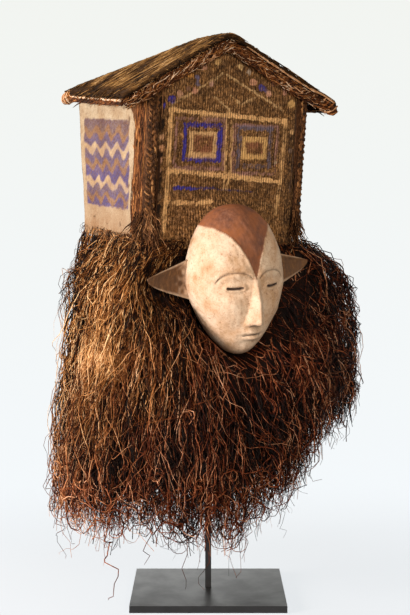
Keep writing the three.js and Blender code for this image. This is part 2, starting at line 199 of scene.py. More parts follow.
# Front wall
# A cloth of raffia twined in upright ribs, stretched on canes, and painted with dry earth
# colours: an ochre frame, two nested squares and spots. Its foot is gathered round the face.
LEAN = math.radians(6.5)            # the house and the face lean forward on the rod
PIVOT_HEIGHT = 600                  # in millimetres above the floor, like the shift to the side
HOUSE_SHIFT = 2
# In house millimetres: x across, y back and z up from the pivot
WALL = {"half": 114, "front": -50, "foot": -135, "thick": 4, "corner": 10,
        "back_top": 170, "back_top_z": 43, "back_foot": 130}
ROOF = {"front": -64, "back": 174, "thick": 8, "softness": 4, "ridge_x": -15, "ridge_z": 141,
        "ridge_back": -4, "front_left": (-162, 56), "front_right": (153, 60),
        "back_left": (-133, 55), "back_right": (132, 56)}


def house(points):
    """House-frame millimetres to metres; the house leans about a line at the pivot height."""
    x, y, z = np.moveaxis(np.asarray(points, float), -1, 0)
    c, s = math.cos(LEAN), math.sin(LEAN)
    return np.stack([x + HOUSE_SHIFT, y * c - z * s, PIVOT_HEIGHT + y * s + z * c], -1) / 1000


def slope(a, b, c):
    """The height over x and y of the plane through three points."""
    a, b, c = (np.array(p, float) for p in (a, b, c))
    normal = np.cross(b - a, c - a)
    return lambda x, y: a[2] - (normal[0] * (x - a[0]) + normal[1] * (y - a[1])) / normal[2]


def roof_slopes():
    """The mat's two sides and its rear hip."""
    corner = {name: (ROOF[name][0], ROOF[name.split("_")[0]], ROOF[name][1])
              for name in ("front_left", "front_right", "back_left", "back_right")}
    ridge_front = (ROOF["ridge_x"], ROOF["front"], ROOF["ridge_z"])
    ridge_back = (ROOF["ridge_x"], ROOF["ridge_back"], ROOF["ridge_z"])
    return [slope(ridge_front, corner["front_left"], corner["back_left"]),
            slope(ridge_front, corner["front_right"], corner["back_right"]),
            slope(ridge_back, corner["back_left"], corner["back_right"])]


SLOPES = roof_slopes()


def roof_top(x, y):
    """The mat's upper side: three slopes, softened where they meet."""
    total = sum(np.exp(-height(x, y) / ROOF["softness"]) for height in SLOPES)
    return -ROOF["softness"] * np.log(total)


def roof_under(x, y):
    return roof_top(x, y) - ROOF["thick"]


def ripple(points, size, seed, waves=8):
    """Smooth seeded unevenness, mostly between -1 and 1, with swells about size apart."""
    points = np.asarray(points, float)
    draw = np.random.default_rng(seed)
    way = draw.normal(size=(waves, points.shape[-1]))
    length = np.linalg.norm(way, axis=1, keepdims=True)
    way *= draw.uniform(0.6, 1.6, (waves, 1)) * 2 * np.pi / size / length
    return np.sin(points @ way.T + draw.uniform(0, 2 * np.pi, waves)).sum(-1) / math.sqrt(waves)


def smooth(value, low, high):
    """0 at low and 1 at high, eased between them and held beyond; low may be the larger."""
    t = np.clip((value - low) / (high - low), 0, 1)
    return t * t * (3 - 2 * t)


def unit_grid(cols, rows, low=0):
    """The share of the way across and up at every point of a grid; up begins at low."""
    return np.meshgrid(np.linspace(0, 1, cols + 1), np.linspace(low, 1, rows + 1))


def new_piece(name, points, faces):
    """A smooth-shaded mesh object at the origin, from points in metres."""
    mesh = bpy.data.meshes.new(name)
    mesh.from_pydata(points.reshape(-1, 3).tolist(), [], faces)
    mesh.shade_smooth()
    piece = bpy.data.objects.new(name, mesh)
    collection.objects.link(piece)
    return piece


def shell(name, outer, inner):
    """A closed piece between an outer grid of points and an inner one, coarser by a whole number."""
    def squares(grid):
        return np.stack([grid[:-1, :-1], grid[:-1, 1:], grid[1:, 1:], grid[1:, :-1]], -1).reshape(-1, 4)

    def edge(grid):
        return [*grid[0, :-1], *grid[:-1, -1], *grid[-1, :0:-1], *grid[:0:-1, 0]]

    fine = np.arange(outer[..., 0].size).reshape(outer.shape[:2])
    coarse = fine.size + np.arange(inner[..., 0].size).reshape(inner.shape[:2])
    step = (fine.shape[1] - 1) // (coarse.shape[1] - 1)
    around = [int(i) for i in edge(fine)]
    inside = [int(i) for i in edge(coarse)]
    faces = squares(fine).tolist() + squares(coarse)[:, ::-1].tolist()
    for k, here in enumerate(inside):
        run = [around[(k * step + j) % len(around)] for j in range(step, -1, -1)]
        faces.append([*run, here, inside[(k + 1) % len(inside)]])
    return new_piece(name, np.concatenate([outer.reshape(-1, 3), inner.reshape(-1, 3)]), faces)


def give(piece, name, values, kind="FLOAT"):
    """Stores values for a piece's first points as an attribute; the rest stay 0."""
    field = "color" if kind == "FLOAT_COLOR" else "value"
    width = 4 if kind == "FLOAT_COLOR" else 1
    data = np.zeros((len(piece.data.vertices), width), np.float32)
    values = np.asarray(values, float).reshape(-1, width)
    data[:len(values)] = values
    piece.data.attributes.new(name, kind, "POINT").data.foreach_set(field, data.ravel())


def carries(piece, material, slot_name, *replaced):
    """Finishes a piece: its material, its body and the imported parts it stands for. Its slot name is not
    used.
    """
    piece.data.materials.clear()
    piece.data.materials.append(material)
    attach(piece, "root")
    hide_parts(*replaced)


class Paint:
    """Dry paint on a wall, given by the wall's two coordinates in millimetres: a colour, and in the
    fourth channel how well it covers."""
    def __init__(self, across, up, seed):
        flat = np.stack([across, up], -1)
        self.across = across + 0.8 * ripple(flat, 16, seed)
        self.up = up + 0.8 * ripple(flat, 13, seed + 1)
        self.uneven = 0.5 * ripple(flat, 7, seed + 2) + 0.5 * ripple(flat, 24, seed + 3)
        self.colour = np.zeros((*across.shape, 4))

    def lay(self, amount, code, cover=1.0):
        """Paints over what is there, by an amount from 0 to 1 at each point."""
        strength = np.clip(amount * cover * (1 + 0.22 * self.uneven), 0, 1)[..., None]
        new = np.array([*linear(code)[:3], 1.0])
        self.colour = self.colour * (1 - strength) + new * strength

    def beyond(self, left, right, low, high):
        """The distance outside a rectangle, negative within it."""
        return np.maximum(np.maximum(left - self.across, self.across - right),
                          np.maximum(low - self.up, self.up - high))

    def line(self, points, width, code, cover=1.0):
        amount = np.zeros_like(self.across)
        for (x0, z0), (x1, z1) in zip(points, points[1:]):
            dx, dz = x1 - x0, z1 - z0
            along = ((self.across - x0) * dx + (self.up - z0) * dz) / (dx * dx + dz * dz)
            along = np.clip(along, 0, 1)
            away = np.hypot(self.across - x0 - along * dx, self.up - z0 - along * dz)
            away = away + 0.35 * self.uneven
            amount = np.maximum(amount, 1 - smooth(away, width / 2 - 0.8, width / 2 + 0.8))
        self.lay(amount, code, cover)

    def block(self, left, right, low, high, code, cover=1.0):
        away = self.beyond(left, right, low, high)
        self.lay(1 - smooth(away, -0.8, 0.8), code, cover)

    def square(self, left, right, low, high, width, code, cover=1.0):
        away = self.beyond(left, right, low, high) + width / 2
        self.lay(1 - smooth(np.abs(away), width / 2 - 0.8, width / 2 + 0.8), code, cover)

    def spot(self, x, z, radius, code, cover=1.0):
        away = np.hypot(self.across - x, self.up - z) + 1.1 * self.uneven
        self.lay(1 - smooth(away, radius - 1.2, radius + 1.2), code, cover)


OCHRE, BLUE, SLATE, MAUVE = "#ffce94", "#4a44b8", "#857c94", "#bd9088"
RUST, PINK, TAN, CHEVRON = "#aa7256", "#dcae9e", "#e6ba88", "#f4cc98"
SPOTS = (                           # across, up, radius and colour
    (-24, 101, 5, "#f0c488"), (-43, 93, 4.2, "#dfa88e"), (-62, 84, 5.6, "#f0ae62"), (-52, 80, 4, "#7f7698"),
    (-51, 73, 3.6, "#8b7f98"), (-31, 73, 4, PINK), (-54, 64, 4.4, "#e0a48c"), (-76, 60, 6, "#d9a98c"),
    (-64, 66, 4, "#9a7460"), (-87, 52, 5.2, BLUE), (11, 97, 5, "#f3cd96"), (23, 91, 4, "#c8b4a4"),
    (31, 79, 5, "#eab091"), (44, 73, 5, "#5750a8"), (50, 69, 4, "#6a62a4"), (56, 65, 4.4, "#eab59c"),
    (61, 79, 4, "#9a7058"), (79, 68, 4.6, "#dba48e"), (91, 54, 6.4, "#f6c888"), (94, 17, 3.4, TAN),
    (93, -7, 3, "#8d7468"), (-97, 44, 3, BLUE), (-97, 5, 3.4, "#e8b48c"), (-97, -9, 4, "#dca47c"),
    (-98, -24, 4.4, "#d8a284"), (-98, -38, 3.4, "#c8987a"), (-97, -70, 3.2, "#8a6a50"),
    (72, -22, 2.2, "#dccba6"))
FACE_CENTRE = (-2, -82, -171)
ARCH = (44, 74)                     # half sizes of the opening behind the face
GATHER = {"half": 55, "tall": 79, "swell": 17, "reach": 12}
RIB = 3.5                           # from one upright rib to the next


def painted_front(x, z, around_face):
    """The front's paint, in the order in which it was put on."""
    paint = Paint(x, z, 11)
    # Painted shade under the roof, and darker cloth beside the frame and below the squares
    under_roof = roof_under(x, WALL["front"]) - z
    paint.lay(smooth(under_roof, 30, 12), "#2e1d10", 0.6)
    paint.block(-106, -95, -130, 56, "#26180e", 0.8)
    paint.block(87, 106, -130, 46, "#33231a", 0.65)
    paint.block(-82, 80, -74, -46, "#2e2118", 0.3)
    # The two nested squares, from their mauve frames to their rust middles
    for left, right, low, high in ((-81, -5, -35.5, 32), (5, 75, -41, 27)):
        paint.square(left, right, low, high, 5.5, MAUVE, 0.76)
        paint.square(left + 5, right - 5, low + 5, high - 5, 4, "#4a3038", 0.5)
    paint.square(-69, -11, -25.5, 25, 7.5, BLUE, 0.83)
    paint.square(11.5, 66, -32, 23.5, 7.5, SLATE, 0.7)
    paint.block(-59, -18, -20, 15, RUST, 0.76)
    paint.block(19, 58, -20, 10, RUST, 0.74)
    paint.square(-59, -18, -20, 15, 6.4, "#f8ce98", 0.76)
    paint.square(19, 58, -20, 10, 7, "#f6ca88", 0.77)
    # The gable's chevrons, the lines below the squares and between them, and the frame
    for points, width, code, cover in (
            ([(-86, 45), (-13.5, 88), (79, 45)], 5, CHEVRON, 0.8),
            ([(-26, 58), (-12, 49), (8, 33)], 4.6, CHEVRON, 0.8),
            ([(35, 59), (14, 50), (-2, 60)], 4.6, CHEVRON, 0.78),
            ([(-84, -37.5), (-40, -39.5), (5, -42.5), (54, -46), (81, -48)], 7.5, OCHRE, 0.88),
            ([(-77, -58), (-48, -58.5)], 4.4, "#544ec4", 0.88),
            ([(-50, -58.5), (-22, -58)], 3.8, "#5c52a6", 0.82),
            ([(-24, -58), (40, -62)], 3.6, "#4a4272", 0.7),
            ([(-85, -76), (-45, -78), (-24, -75)], 7, OCHRE, 0.84),
            ([(52, -76), (78, -80)], 4.5, TAN, 0.66),
            ([(-4.8, 28), (-3.8, -41), (-6, -58)], 4.6, OCHRE, 0.74),
            ([(2.8, 28), (3.8, -41), (0, -58)], 4.6, OCHRE, 0.74),
            ([(-87, 39), (84, 31)], 7.5, OCHRE, 0.88),
            ([(-87, 37), (-87, -50), (-89, -114)], 7.5, OCHRE, 0.86),
            ([(84, 27), (82, -40), (78, -90)], 7.5, OCHRE, 0.72),
            ([(98, 56), (101, 10), (98, -60)], 2.4, "#8d7468", 0.6)):
        paint.line(points, width, code, cover)
    for spot in SPOTS:
        paint.spot(*spot, 0.92)
    # Pale earth rubbed into the cloth that is gathered round the face
    paint.lay(smooth(around_face, 9, 1) * 0.75, "#d6b086")
    return paint.colour


def make_front_wall():
    """The cloth, cut out in an arch behind the face and swollen where it is gathered round it."""
    ribs, rows, step = 60, 114, 3
    u, v = unit_grid(ribs * step, rows)
    half = WALL["half"] - WALL["corner"] + 0.7
    x = (u * 2 - 1) * half
    inside = np.clip(1 - ((x - FACE_CENTRE[0]) / ARCH[0]) ** 2, 0, 1)
    foot = np.maximum(WALL["foot"], FACE_CENTRE[2] + ARCH[1] * np.sqrt(inside))
    z = foot + (roof_under(x, WALL["front"]) - 3 - foot) * v
    reach = np.hypot((x - FACE_CENTRE[0]) / GATHER["half"], (z - FACE_CENTRE[2]) / GATHER["tall"])
    around_face = np.maximum(0, (reach - 1) * 66)
    swell = GATHER["swell"] * np.exp(-around_face / GATHER["reach"])
    rib = np.abs(np.sin(np.pi * (x + 0.5 * ripple(np.stack([x, z], -1), 40, 5)) / RIB))
    twine = np.cos(np.pi * (np.arange(rows + 1)[:, None] + np.floor(u * ribs)))
    height = rib * (0.95 + 0.3 * twine) + 0.9 * ripple(np.stack([x, z], -1), 55, 6)
    wrap = 2.5 * smooth(np.abs(x), half - 7, half)
    y = WALL["front"] - swell - 0.6 * height + wrap
    outer = np.stack([x, y, z], -1)
    inner = np.stack([x, WALL["front"] - swell + WALL["thick"] - 0.5 + 0 * x, z], -1)[::step, ::step]
    piece = shell("front_wall_cloth", house(outer), house(inner))
    give(piece, "rib", rib)
    give(piece, "paint", painted_front(x, z, around_face), "FLOAT_COLOR")
    return piece


MULTIPLY = {**MIX, "blend_type": "MULTIPLY"}


def twined_raffia():
    """Twined raffia with dry earth paint: matt, ribbed, with painted shade in the grooves and worn pale
    threads.
    A thread is about 1 mm wide, and its flecks are drawn 2.2 mm wide so that they show."""
    material, tree, place = new_material("twined raffia with earth paint")
    rib = add(tree, "ShaderNodeAttribute", attribute_name="rib").outputs["Fac"]
    paint = add(tree, "ShaderNodeAttribute", attribute_name="paint").outputs
    long_flecks = add(tree, "ShaderNodeMapping", {"Vector": place, "Scale": (1, 1, 0.45)})
    short_flecks = add(tree, "ShaderNodeMapping", {"Vector": place, "Scale": (1, 1, 0.8)})
    flecks, dry, patches, soot, dirt = (add(tree, "ShaderNodeTexNoise", {
        "Vector": where, "Scale": 1000 / size_mm, "Detail": detail, "Roughness": rough})
        for where, size_mm, detail, rough in (
            (long_flecks, 2.2, 4, 0.75), (short_flecks, 2.2, 4, 0.75), (place, 22, 4, 0.6),
            (place, 7, 5, 0.8), (place, 2.6, 5, 0.8)))
    ground = add(tree, "ShaderNodeValToRGB", {"Fac": flecks}, stops=[
        (0.32, "#180d06"), (0.5, "#8a6543"), (0.68, "#eebb86")])
    shadow = add(tree, "ShaderNodeMapRange", {
        "Value": patches, "From Min": 0.45, "From Max": 0.75, "To Max": 0.5})
    ground = add(tree, "ShaderNodeMix", {FACTOR: shadow, FIRST: ground, SECOND: "#180d06"}, **MIX)
    smoke = add(tree, "ShaderNodeValToRGB", {"Fac": soot}, stops=[
        (0.4, "#fff2cc"), (0.5, "#f4f0e4"), (0.6, "#aeb2c4")])
    ground = add(tree, "ShaderNodeMix", {FACTOR: 0.5, FIRST: ground, SECOND: smoke}, **MULTIPLY)
    hold = add(tree, "ShaderNodeMath", {0: paint["Alpha"], 1: dry}, operation="SUBTRACT")
    cover = add(tree, "ShaderNodeMapRange", {"Value": hold, "From Min": 0.06, "From Max": 0.36})
    colour = add(tree, "ShaderNodeMix", {FACTOR: cover, FIRST: ground, SECOND: paint["Color"]}, **MIX)
    # Painted shade in the grooves between the ribs, then darker dirt in patches
    for amount, where, stops in (
            (1.0, rib, [(0.0, "#402f24"), (0.5, "#dcd6d0"), (1.0, "#ffffff")]),
            (0.8, dirt, [(0.34, "#5c4636"), (0.5, "#ffffff")])):
        shade = add(tree, "ShaderNodeValToRGB", {"Fac": where}, stops=stops)
        colour = add(tree, "ShaderNodeMix", {FACTOR: amount, FIRST: colour, SECOND: shade}, **MULTIPLY)
    surface(tree, colour, 0.93, flecks, 0.9, 0.2)
    return material


twined = twined_raffia()
carries(make_front_wall(), twined, "woven_raffia", "front_wall")


# Side walls
# Raffia cloth stretched on canes and faced with smooth kaolin, with a field of zigzags in blue,
# tan and cream. The right wall is hidden in the photograph and is painted like the left.
SIDES = {-1: "left", 1: "right"}
ZIGZAG = {"back_top": (147, 18), "front_top": (10, 22), "back_foot": (124, -95), "front_foot": (2, -91)}
PEAKS = 3.9                         # peaks of a zigzag from the back to the front
BLUES = ("#705e6a", "#665e84", "#5c5890")
CLAY, CREAM = "#98785c", "#c0aa8c"
BANDS = (                           # where each band begins, from the field's top (0) to its foot (1)
    (0.0, BLUES[0]), (0.115, "#987659"), (0.2, BLUES[1]), (0.3, CREAM), (0.385, BLUES[1]), (0.49, CLAY),
    (0.57, BLUES[2]), (0.69, CREAM), (0.775, BLUES[1]), (0.87, CLAY), (0.94, BLUES[2]))
STITCHES = (
    (114, 37), (95, 38), (72, 38), (50, 39), (28, 37), (12, 24), (9, 0), (8, -24), (4, -62), (22, -112),
    (60, -116), (100, -110))


def painted_side(y, z, seed):
    """A side's kaolin and its zigzags. The panel's upper front corner is round, with cane below."""
    paint = Paint(y, z, seed)
    y, z = paint.across, paint.up
    top_front = 26 * smooth(y, 24, -6) ** 1.6
    border = -8.5 + 1.2 * ripple(z[..., None], 9, seed + 12)
    inside = smooth(z, -140, -136) * smooth(z, 47 - top_front, 44 - top_front)
    inside *= smooth(y, border - 2, border + 2)
    # Bare cloth at the corner, the dark seam at the back, then kaolin that darkens downwards
    paint.lay(smooth(y, -40, -30), "#8a5a38", 0.6)
    paint.lay(smooth(y, back_at(z) - 5, back_at(z) - 4), "#46301f", 0.95)
    paint.lay(inside * smooth(y, back_at(z) - 3.2, back_at(z) - 4.4), "#beaf99", 0.98)
    paint.lay(inside * smooth(z, -40, -120), "#a89078", 0.8)

    def along(low_name, high_name, t):
        low, high = (np.array(ZIGZAG[name], float) for name in (low_name, high_name))
        return low + (high - low) * t[..., None]

    # The shares of the way across the field (s) and down it (t)
    down = np.clip((19 - z) / 113, 0, 1)
    back = along("back_top", "back_foot", down)[..., 0]
    front = along("front_top", "front_foot", down)[..., 0]
    s = (back - y) / (back - front)
    top = along("back_top", "front_top", np.clip(s, 0, 1))[..., 1]
    foot = along("back_foot", "front_foot", np.clip(s, 0, 1))[..., 1]
    t = (top - z) / (top - foot)
    field = smooth(s, -0.008, 0.008) * smooth(s, 1.008, 0.992)
    field *= smooth(t, -0.012, 0.012) * smooth(t, 1.01, 0.99)
    draw = np.random.default_rng(seed)
    rubbed = np.zeros_like(field)
    for edge, code in BANDS:
        amplitude = (0.03 + 0.034 * s) * draw.uniform(0.8, 1.15)
        unsteady = 0.11 * ripple(np.stack([s * 4, t * 3], -1), 2.5, seed + 7)
        phase = s * PEAKS + 0.06 * draw.normal() + unsteady
        wave = np.sin(np.pi / 2 * (np.abs((phase % 1) * 2 - 1) * 2 - 1))
        band = field * (1 if edge == 0 else smooth(t - edge + amplitude * wave, -0.012, 0.012))
        rubbed += band * ((code != CREAM) - rubbed)
        paint.lay(band, code, 0.95 if code in BLUES else 0.88)
    thin = smooth(ripple(np.stack([y, z], -1), 6, seed + 9), 0.3, 1.3)
    paint.lay(field * thin, "#94806f", 0.35)
    paint.colour[..., 3] *= 1 - 0.24 * rubbed
    paint.lay(smooth(z + 5 * ripple(y[..., None], 12, seed + 11), -108, -128) * inside, "#9c7a5a", 0.45)
    for stitch in STITCHES:
        paint.spot(*stitch, 1.8, "#5a4030", 0.8)
    return paint.colour


def back_at(z):
    """Where the back wall's outer side stands at a height, in the house frame."""
    t = (z - WALL["foot"]) / (WALL["back_top_z"] - WALL["foot"])
    return WALL["back_foot"] + (WALL["back_top"] - WALL["back_foot"]) * t


def make_side_wall(side, seed):
    cols, rows, step = 105, 105, 5
    u, v = unit_grid(cols, rows)
    across = u if side > 0 else 1 - u
    x = side * WALL["half"]
    front = WALL["front"] + WALL["corner"]
    z = WALL["foot"] + v * 190
    for _ in range(3):                  # the top and the back edge depend on each other
        y = front + (back_at(z) - 0.6 - front) * across
        top = np.minimum(roof_under(x, y), roof_under(x - side * WALL["thick"], y)) - 1.5
        z = WALL["foot"] + (top - WALL["foot"]) * v
    place = np.stack([y, z], -1)
    rib = np.abs(np.sin(np.pi * y / RIB))
    bulge = 0.7 * ripple(place, 70, seed + 20) + 0.12 * ripple(place, 6, seed + 21) + 0.14 * rib
    edge = 1.6 * (smooth(y, front + 5, front) + smooth(y, back_at(z) - 4, back_at(z) - 1))
    outer = np.stack([x + side * (bulge - 0.5 - edge), y, z], -1)
    inner = np.stack([np.full_like(y, x - side * (WALL["thick"] - 0.3)), y, z], -1)[::step, ::step]
    piece = shell(f"{SIDES[side]}_wall_panel", house(outer), house(inner))
    give(piece, "rib", rib)
    give(piece, "paint", painted_side(y, z, seed), "FLOAT_COLOR")
    return piece


def kaolin_panel():
    """Kaolin on raffia: a dry, chalky cream, stained tan, pitted with brown where it has gone."""
    material, tree, place = new_material("kaolin and pigment on raffia")
    paint = add(tree, "ShaderNodeAttribute", attribute_name="paint").outputs
    rib = add(tree, "ShaderNodeAttribute", attribute_name="rib").outputs["Fac"]
    grain, threads, clouds, specks, dusting = (add(tree, "ShaderNodeTexNoise", {
        "Vector": place, "Scale": 1000 / size_mm, "Detail": detail, "Roughness": rough})
        for size_mm, detail, rough in (
            (2.2, 4, 0.7), (3, 3, 0.6), (34, 5, 0.6), (4.5, 5, 0.75), (1.6, 2, 0.6)))
    hold = add(tree, "ShaderNodeMath", {0: paint["Alpha"], 1: grain}, operation="SUBTRACT")
    cover = add(tree, "ShaderNodeMapRange", {"Value": hold, "From Min": 0.04, "From Max": 0.3})
    ground = add(tree, "ShaderNodeValToRGB", {"Fac": threads}, stops=[
        (0.3, "#3a2413"), (0.6, "#76502f"), (0.8, "#a37a4e")])
    colour = add(tree, "ShaderNodeMix", {FACTOR: cover, FIRST: ground, SECOND: paint["Color"]}, **MIX)
    # Tan stains, brown pits and dusting, then painted shade in the grooves between the ribs
    for amount, where, stops in (
            (0.6, clouds, [(0.35, "#d4bca4"), (0.6, "#ffffff")]),
            (0.8, specks, [(0.3, "#8f6c50"), (0.4, "#ffffff")]),
            (0.6, dusting, [(0.3, "#c9b8a8"), (0.6, "#ffffff")]),
            (0.35, rib, [(0, "#b9a595"), (0.5, "#ffffff")])):
        shade = add(tree, "ShaderNodeValToRGB", {"Fac": where}, stops=stops)
        colour = add(tree, "ShaderNodeMix", {FACTOR: amount, FIRST: colour, SECOND: shade}, **MULTIPLY)
    surface(tree, colour, 0.9, grain, 0.35, 0.25)
    return material


kaolin_cloth = kaolin_panel()
for side, seed in ((-1, 31), (1, 57)):
    carries(make_side_wall(side, seed), kaolin_cloth, "painted_panel", f"{SIDES[side]}_wall")


# Back wall
# The plain side of the house, hidden in the photograph: bare twined raffia with an ochre and a
# mauve border, in keeping with the front.
def make_back_wall():
    cols, rows, step = 132, 48, 6
    u, v = unit_grid(cols, rows)
    x = (1 - u * 2) * (WALL["half"] - 4.4)
    top = min(roof_under(corner, WALL["back_top"]) for corner in (-WALL["half"], WALL["half"])) - 3
    z = WALL["foot"] + (top - WALL["foot"]) * v
    place = np.stack([x, z], -1)
    rib = np.abs(np.sin(np.pi * x / RIB))
    height = 0.8 * rib + 0.8 * ripple(place, 60, 91)
    y = back_at(z) + 0.6 * height - 0.8
    outer = np.stack([x, y, z], -1)
    inner = np.stack([x, back_at(z) - WALL["thick"] + 0.4, z], -1)[::step, ::step]
    piece = shell("back_wall_cloth", house(outer), house(inner))
    paint = Paint(x, z, 93)
    for inset, code in ((12, OCHRE), (24, MAUVE)):
        left, low = -WALL["half"] + inset, WALL["foot"] + inset + 26
        paint.square(left, -left, low, top - inset, 5, code, 0.75)
    give(piece, "rib", rib)
    give(piece, "paint", paint.colour, "FLOAT_COLOR")
    return piece


carries(make_back_wall(), twined, "woven_raffia", "back_wall")


# Corner canes
# Three flat canes side by side outside each side wall, each split into splints whose ends have
# frayed. They are bound under the plait at the corner.
CANE = {"from": -39, "width": 25, "foot": -122, "top": 52, "splints": 15, "radius": 1.25,
        "frayed": 130}


def strand_tree():
    """Closed round strands along a mesh's lines, as thick as each point says."""
    tree = bpy.data.node_groups.new("strands", "GeometryNodeTree")
    for label, direction, kind in (("Lines", "INPUT", "Geometry"), ("Sides", "INPUT", "Int"),
                                   ("Thickness", "INPUT", "Float"), ("Finish", "INPUT", "Material"),
                                   ("Strands", "OUTPUT", "Geometry")):
        tree.interface.new_socket(label, in_out=direction, socket_type="NodeSocket" + kind)
    start = add(tree, "NodeGroupInput").outputs
    lines = add(tree, "GeometryNodeMeshToCurve", {"Mesh": start["Lines"]})
    own = add(tree, "GeometryNodeInputNamedAttribute", {"Name": "radius_mm"}, data_type="FLOAT")
    scale = add(tree, "ShaderNodeMath", {0: own, 1: start["Thickness"]}, operation="MULTIPLY")
    ring = add(tree, "GeometryNodeCurvePrimitiveCircle", {"Resolution": start["Sides"], "Radius": 0.001})
    tubes = add(tree, "GeometryNodeCurveToMesh", {
        "Curve": lines, "Profile Curve": ring, "Scale": scale, "Fill Caps": True})
    real = add(tree, "GeometryNodeRealizeInstances", {"Geometry": tubes})
    done = add(tree, "GeometryNodeSetMaterial", {"Geometry": real, "Material": start["Finish"]})
    add(tree, "NodeGroupOutput", {"Strands": done})
    return tree


STRANDS = strand_tree()


def strands(name, lines, radii, tones, material, sides=3):
    """One piece of closed strands along lines of points in metres, with radii in millimetres."""
    points = np.concatenate(lines)
    ends = np.cumsum([len(line) for line in lines])[:-1] - 1
    first = np.delete(np.arange(len(points) - 1), ends)
    edges = np.stack([first, first + 1], -1)
    mesh = bpy.data.meshes.new(name)
    mesh.vertices.add(len(points))
    mesh.vertices.foreach_set("co", points.astype(np.float32).ravel())
    mesh.edges.add(len(edges))
    mesh.edges.foreach_set("vertices", edges.astype(np.int32).ravel())
    for label, values in (("radius_mm", radii), ("tone", tones)):
        data = np.concatenate(values).astype(np.float32)
        mesh.attributes.new(label, "FLOAT", "POINT").data.foreach_set("value", data)
    piece = bpy.data.objects.new(name, mesh)
    collection.objects.link(piece)
    modifier = piece.modifiers.new("strands", "NODES")
    modifier.node_group = STRANDS
    sockets = {item.name: item.identifier for item in STRANDS.interface.items_tree}
    modifier[sockets["Sides"]] = sides
    modifier[sockets["Thickness"]] = 1.0
    modifier[sockets["Finish"]] = material
    solid = bpy.data.meshes.new_from_object(piece.evaluated_get(bpy.context.evaluated_depsgraph_get()))
    piece.modifiers.remove(modifier)
    piece.data = solid
    solid.shade_smooth()
    return piece


def fibre(name, stops, size_mm=3.0, roughness=0.75, depth_mm=0.25):
    """Plant fibre: matt, each strand with its own tone, mottled along its length."""
    material, tree, place = new_material(name)
    tone = add(tree, "ShaderNodeAttribute", attribute_name="tone").outputs["Fac"]
    blotches, fuzz = (add(tree, "ShaderNodeTexNoise", {
        "Vector": place, "Scale": 1000 / across_mm, "Detail": detail, "Roughness": 0.6})
        for across_mm, detail in ((size_mm, 4), (0.9, 3)))
    mottle = add(tree, "ShaderNodeMapRange", {
        "Value": blotches, "From Min": 0.25, "From Max": 0.75, "To Min": -0.16, "To Max": 0.16})
    value = add(tree, "ShaderNodeMath", {0: tone, 1: mottle}, operation="ADD")
    colour = add(tree, "ShaderNodeValToRGB", {"Fac": value}, stops=stops)
    surface(tree, colour, roughness, fuzz, depth_mm, 0.14)
    return material


def make_canes(side, seed, material):
    draw = np.random.default_rng(seed)
    lines, radii, tones = [], [], []
    steps = 30
    for k in range(CANE["splints"]):
        across = CANE["width"] * (k + 0.5) / CANE["splints"]
        lift = 0.7 + 2.2 * abs(math.sin(math.pi * 3 * across / CANE["width"])) ** 0.5
        z = np.linspace(CANE["foot"] + draw.uniform(0, 5), CANE["top"] - draw.uniform(0, 6), steps)
        sway = np.cumsum(draw.normal(0, 0.11, (2, steps)), axis=1)
        y = CANE["from"] + across + sway[0]
        x = side * (WALL["half"] + 0.3 + lift + 0.4 * sway[1].clip(-1, 1))
        lines.append(house(np.stack([x, y, z], -1)))
        radii.append(CANE["radius"] * (1 + 0.12 * draw.normal(size=steps)).clip(0.7, 1.3))
        front = across / CANE["width"]
        dark = 0.25 if 0.05 < front < 0.3 else 0.0
        patches = 0.16 * ripple(z[:, None], 30, seed + k)
        tone = 0.52 + draw.normal(0, 0.1) - dark + patches + 0.1 * draw.normal(size=steps)
        tones.append(np.clip(tone, 0, 1))
    t = np.linspace(0, 1, 5)
    for _ in range(CANE["frayed"]):
        y = CANE["from"] + draw.uniform(0, CANE["width"]) + draw.normal(0, 2.5) * t
        x = side * (WALL["half"] + 3.2 + 0.8 * draw.uniform() + 1.6 * t * draw.uniform())
        z = draw.uniform(CANE["foot"], CANE["top"] - 14) + draw.uniform(6, 20) * t
        lines.append(house(np.stack([x + 0 * t, y, z], -1)))
        radii.append(np.interp(t, [0, 0.5, 1], [0.4, 0.6, 0.25]))
        tones.append(np.full(5, np.clip(draw.normal(0.42, 0.2), 0, 1)))
    return strands(f"corner_cane_splints_{SIDES[side]}", lines, radii, tones, material, sides=5)


# Cane: dull brown, lighter in patches, each splint a little apart in tone
split_cane = fibre("split cane, dry and unpeeled", [
    (0.0, "#160b05"), (0.3, "#432614"), (0.55, "#784828"), (0.8, "#b07a48"), (1.0, "#d09c66")], 2.5)
for side, seed in ((-1, 71), (1, 72)):
    carries(make_canes(side, seed, split_cane), split_cane, "cane", f"corner_cane_{SIDES[side]}")


# Corner plaits
# A three-strand plait of twisted raffia up each front corner, which covers the seam between the
# front cloth and the side wall.
PLAIT = {"x": 110.5, "y": -49.5, "foot": -124, "top": 60, "pitch": 24, "wide": 4.2, "deep": 1.8,
         "strand": 1.8, "yarn": 1.4, "yarns": 4, "twist": 17}


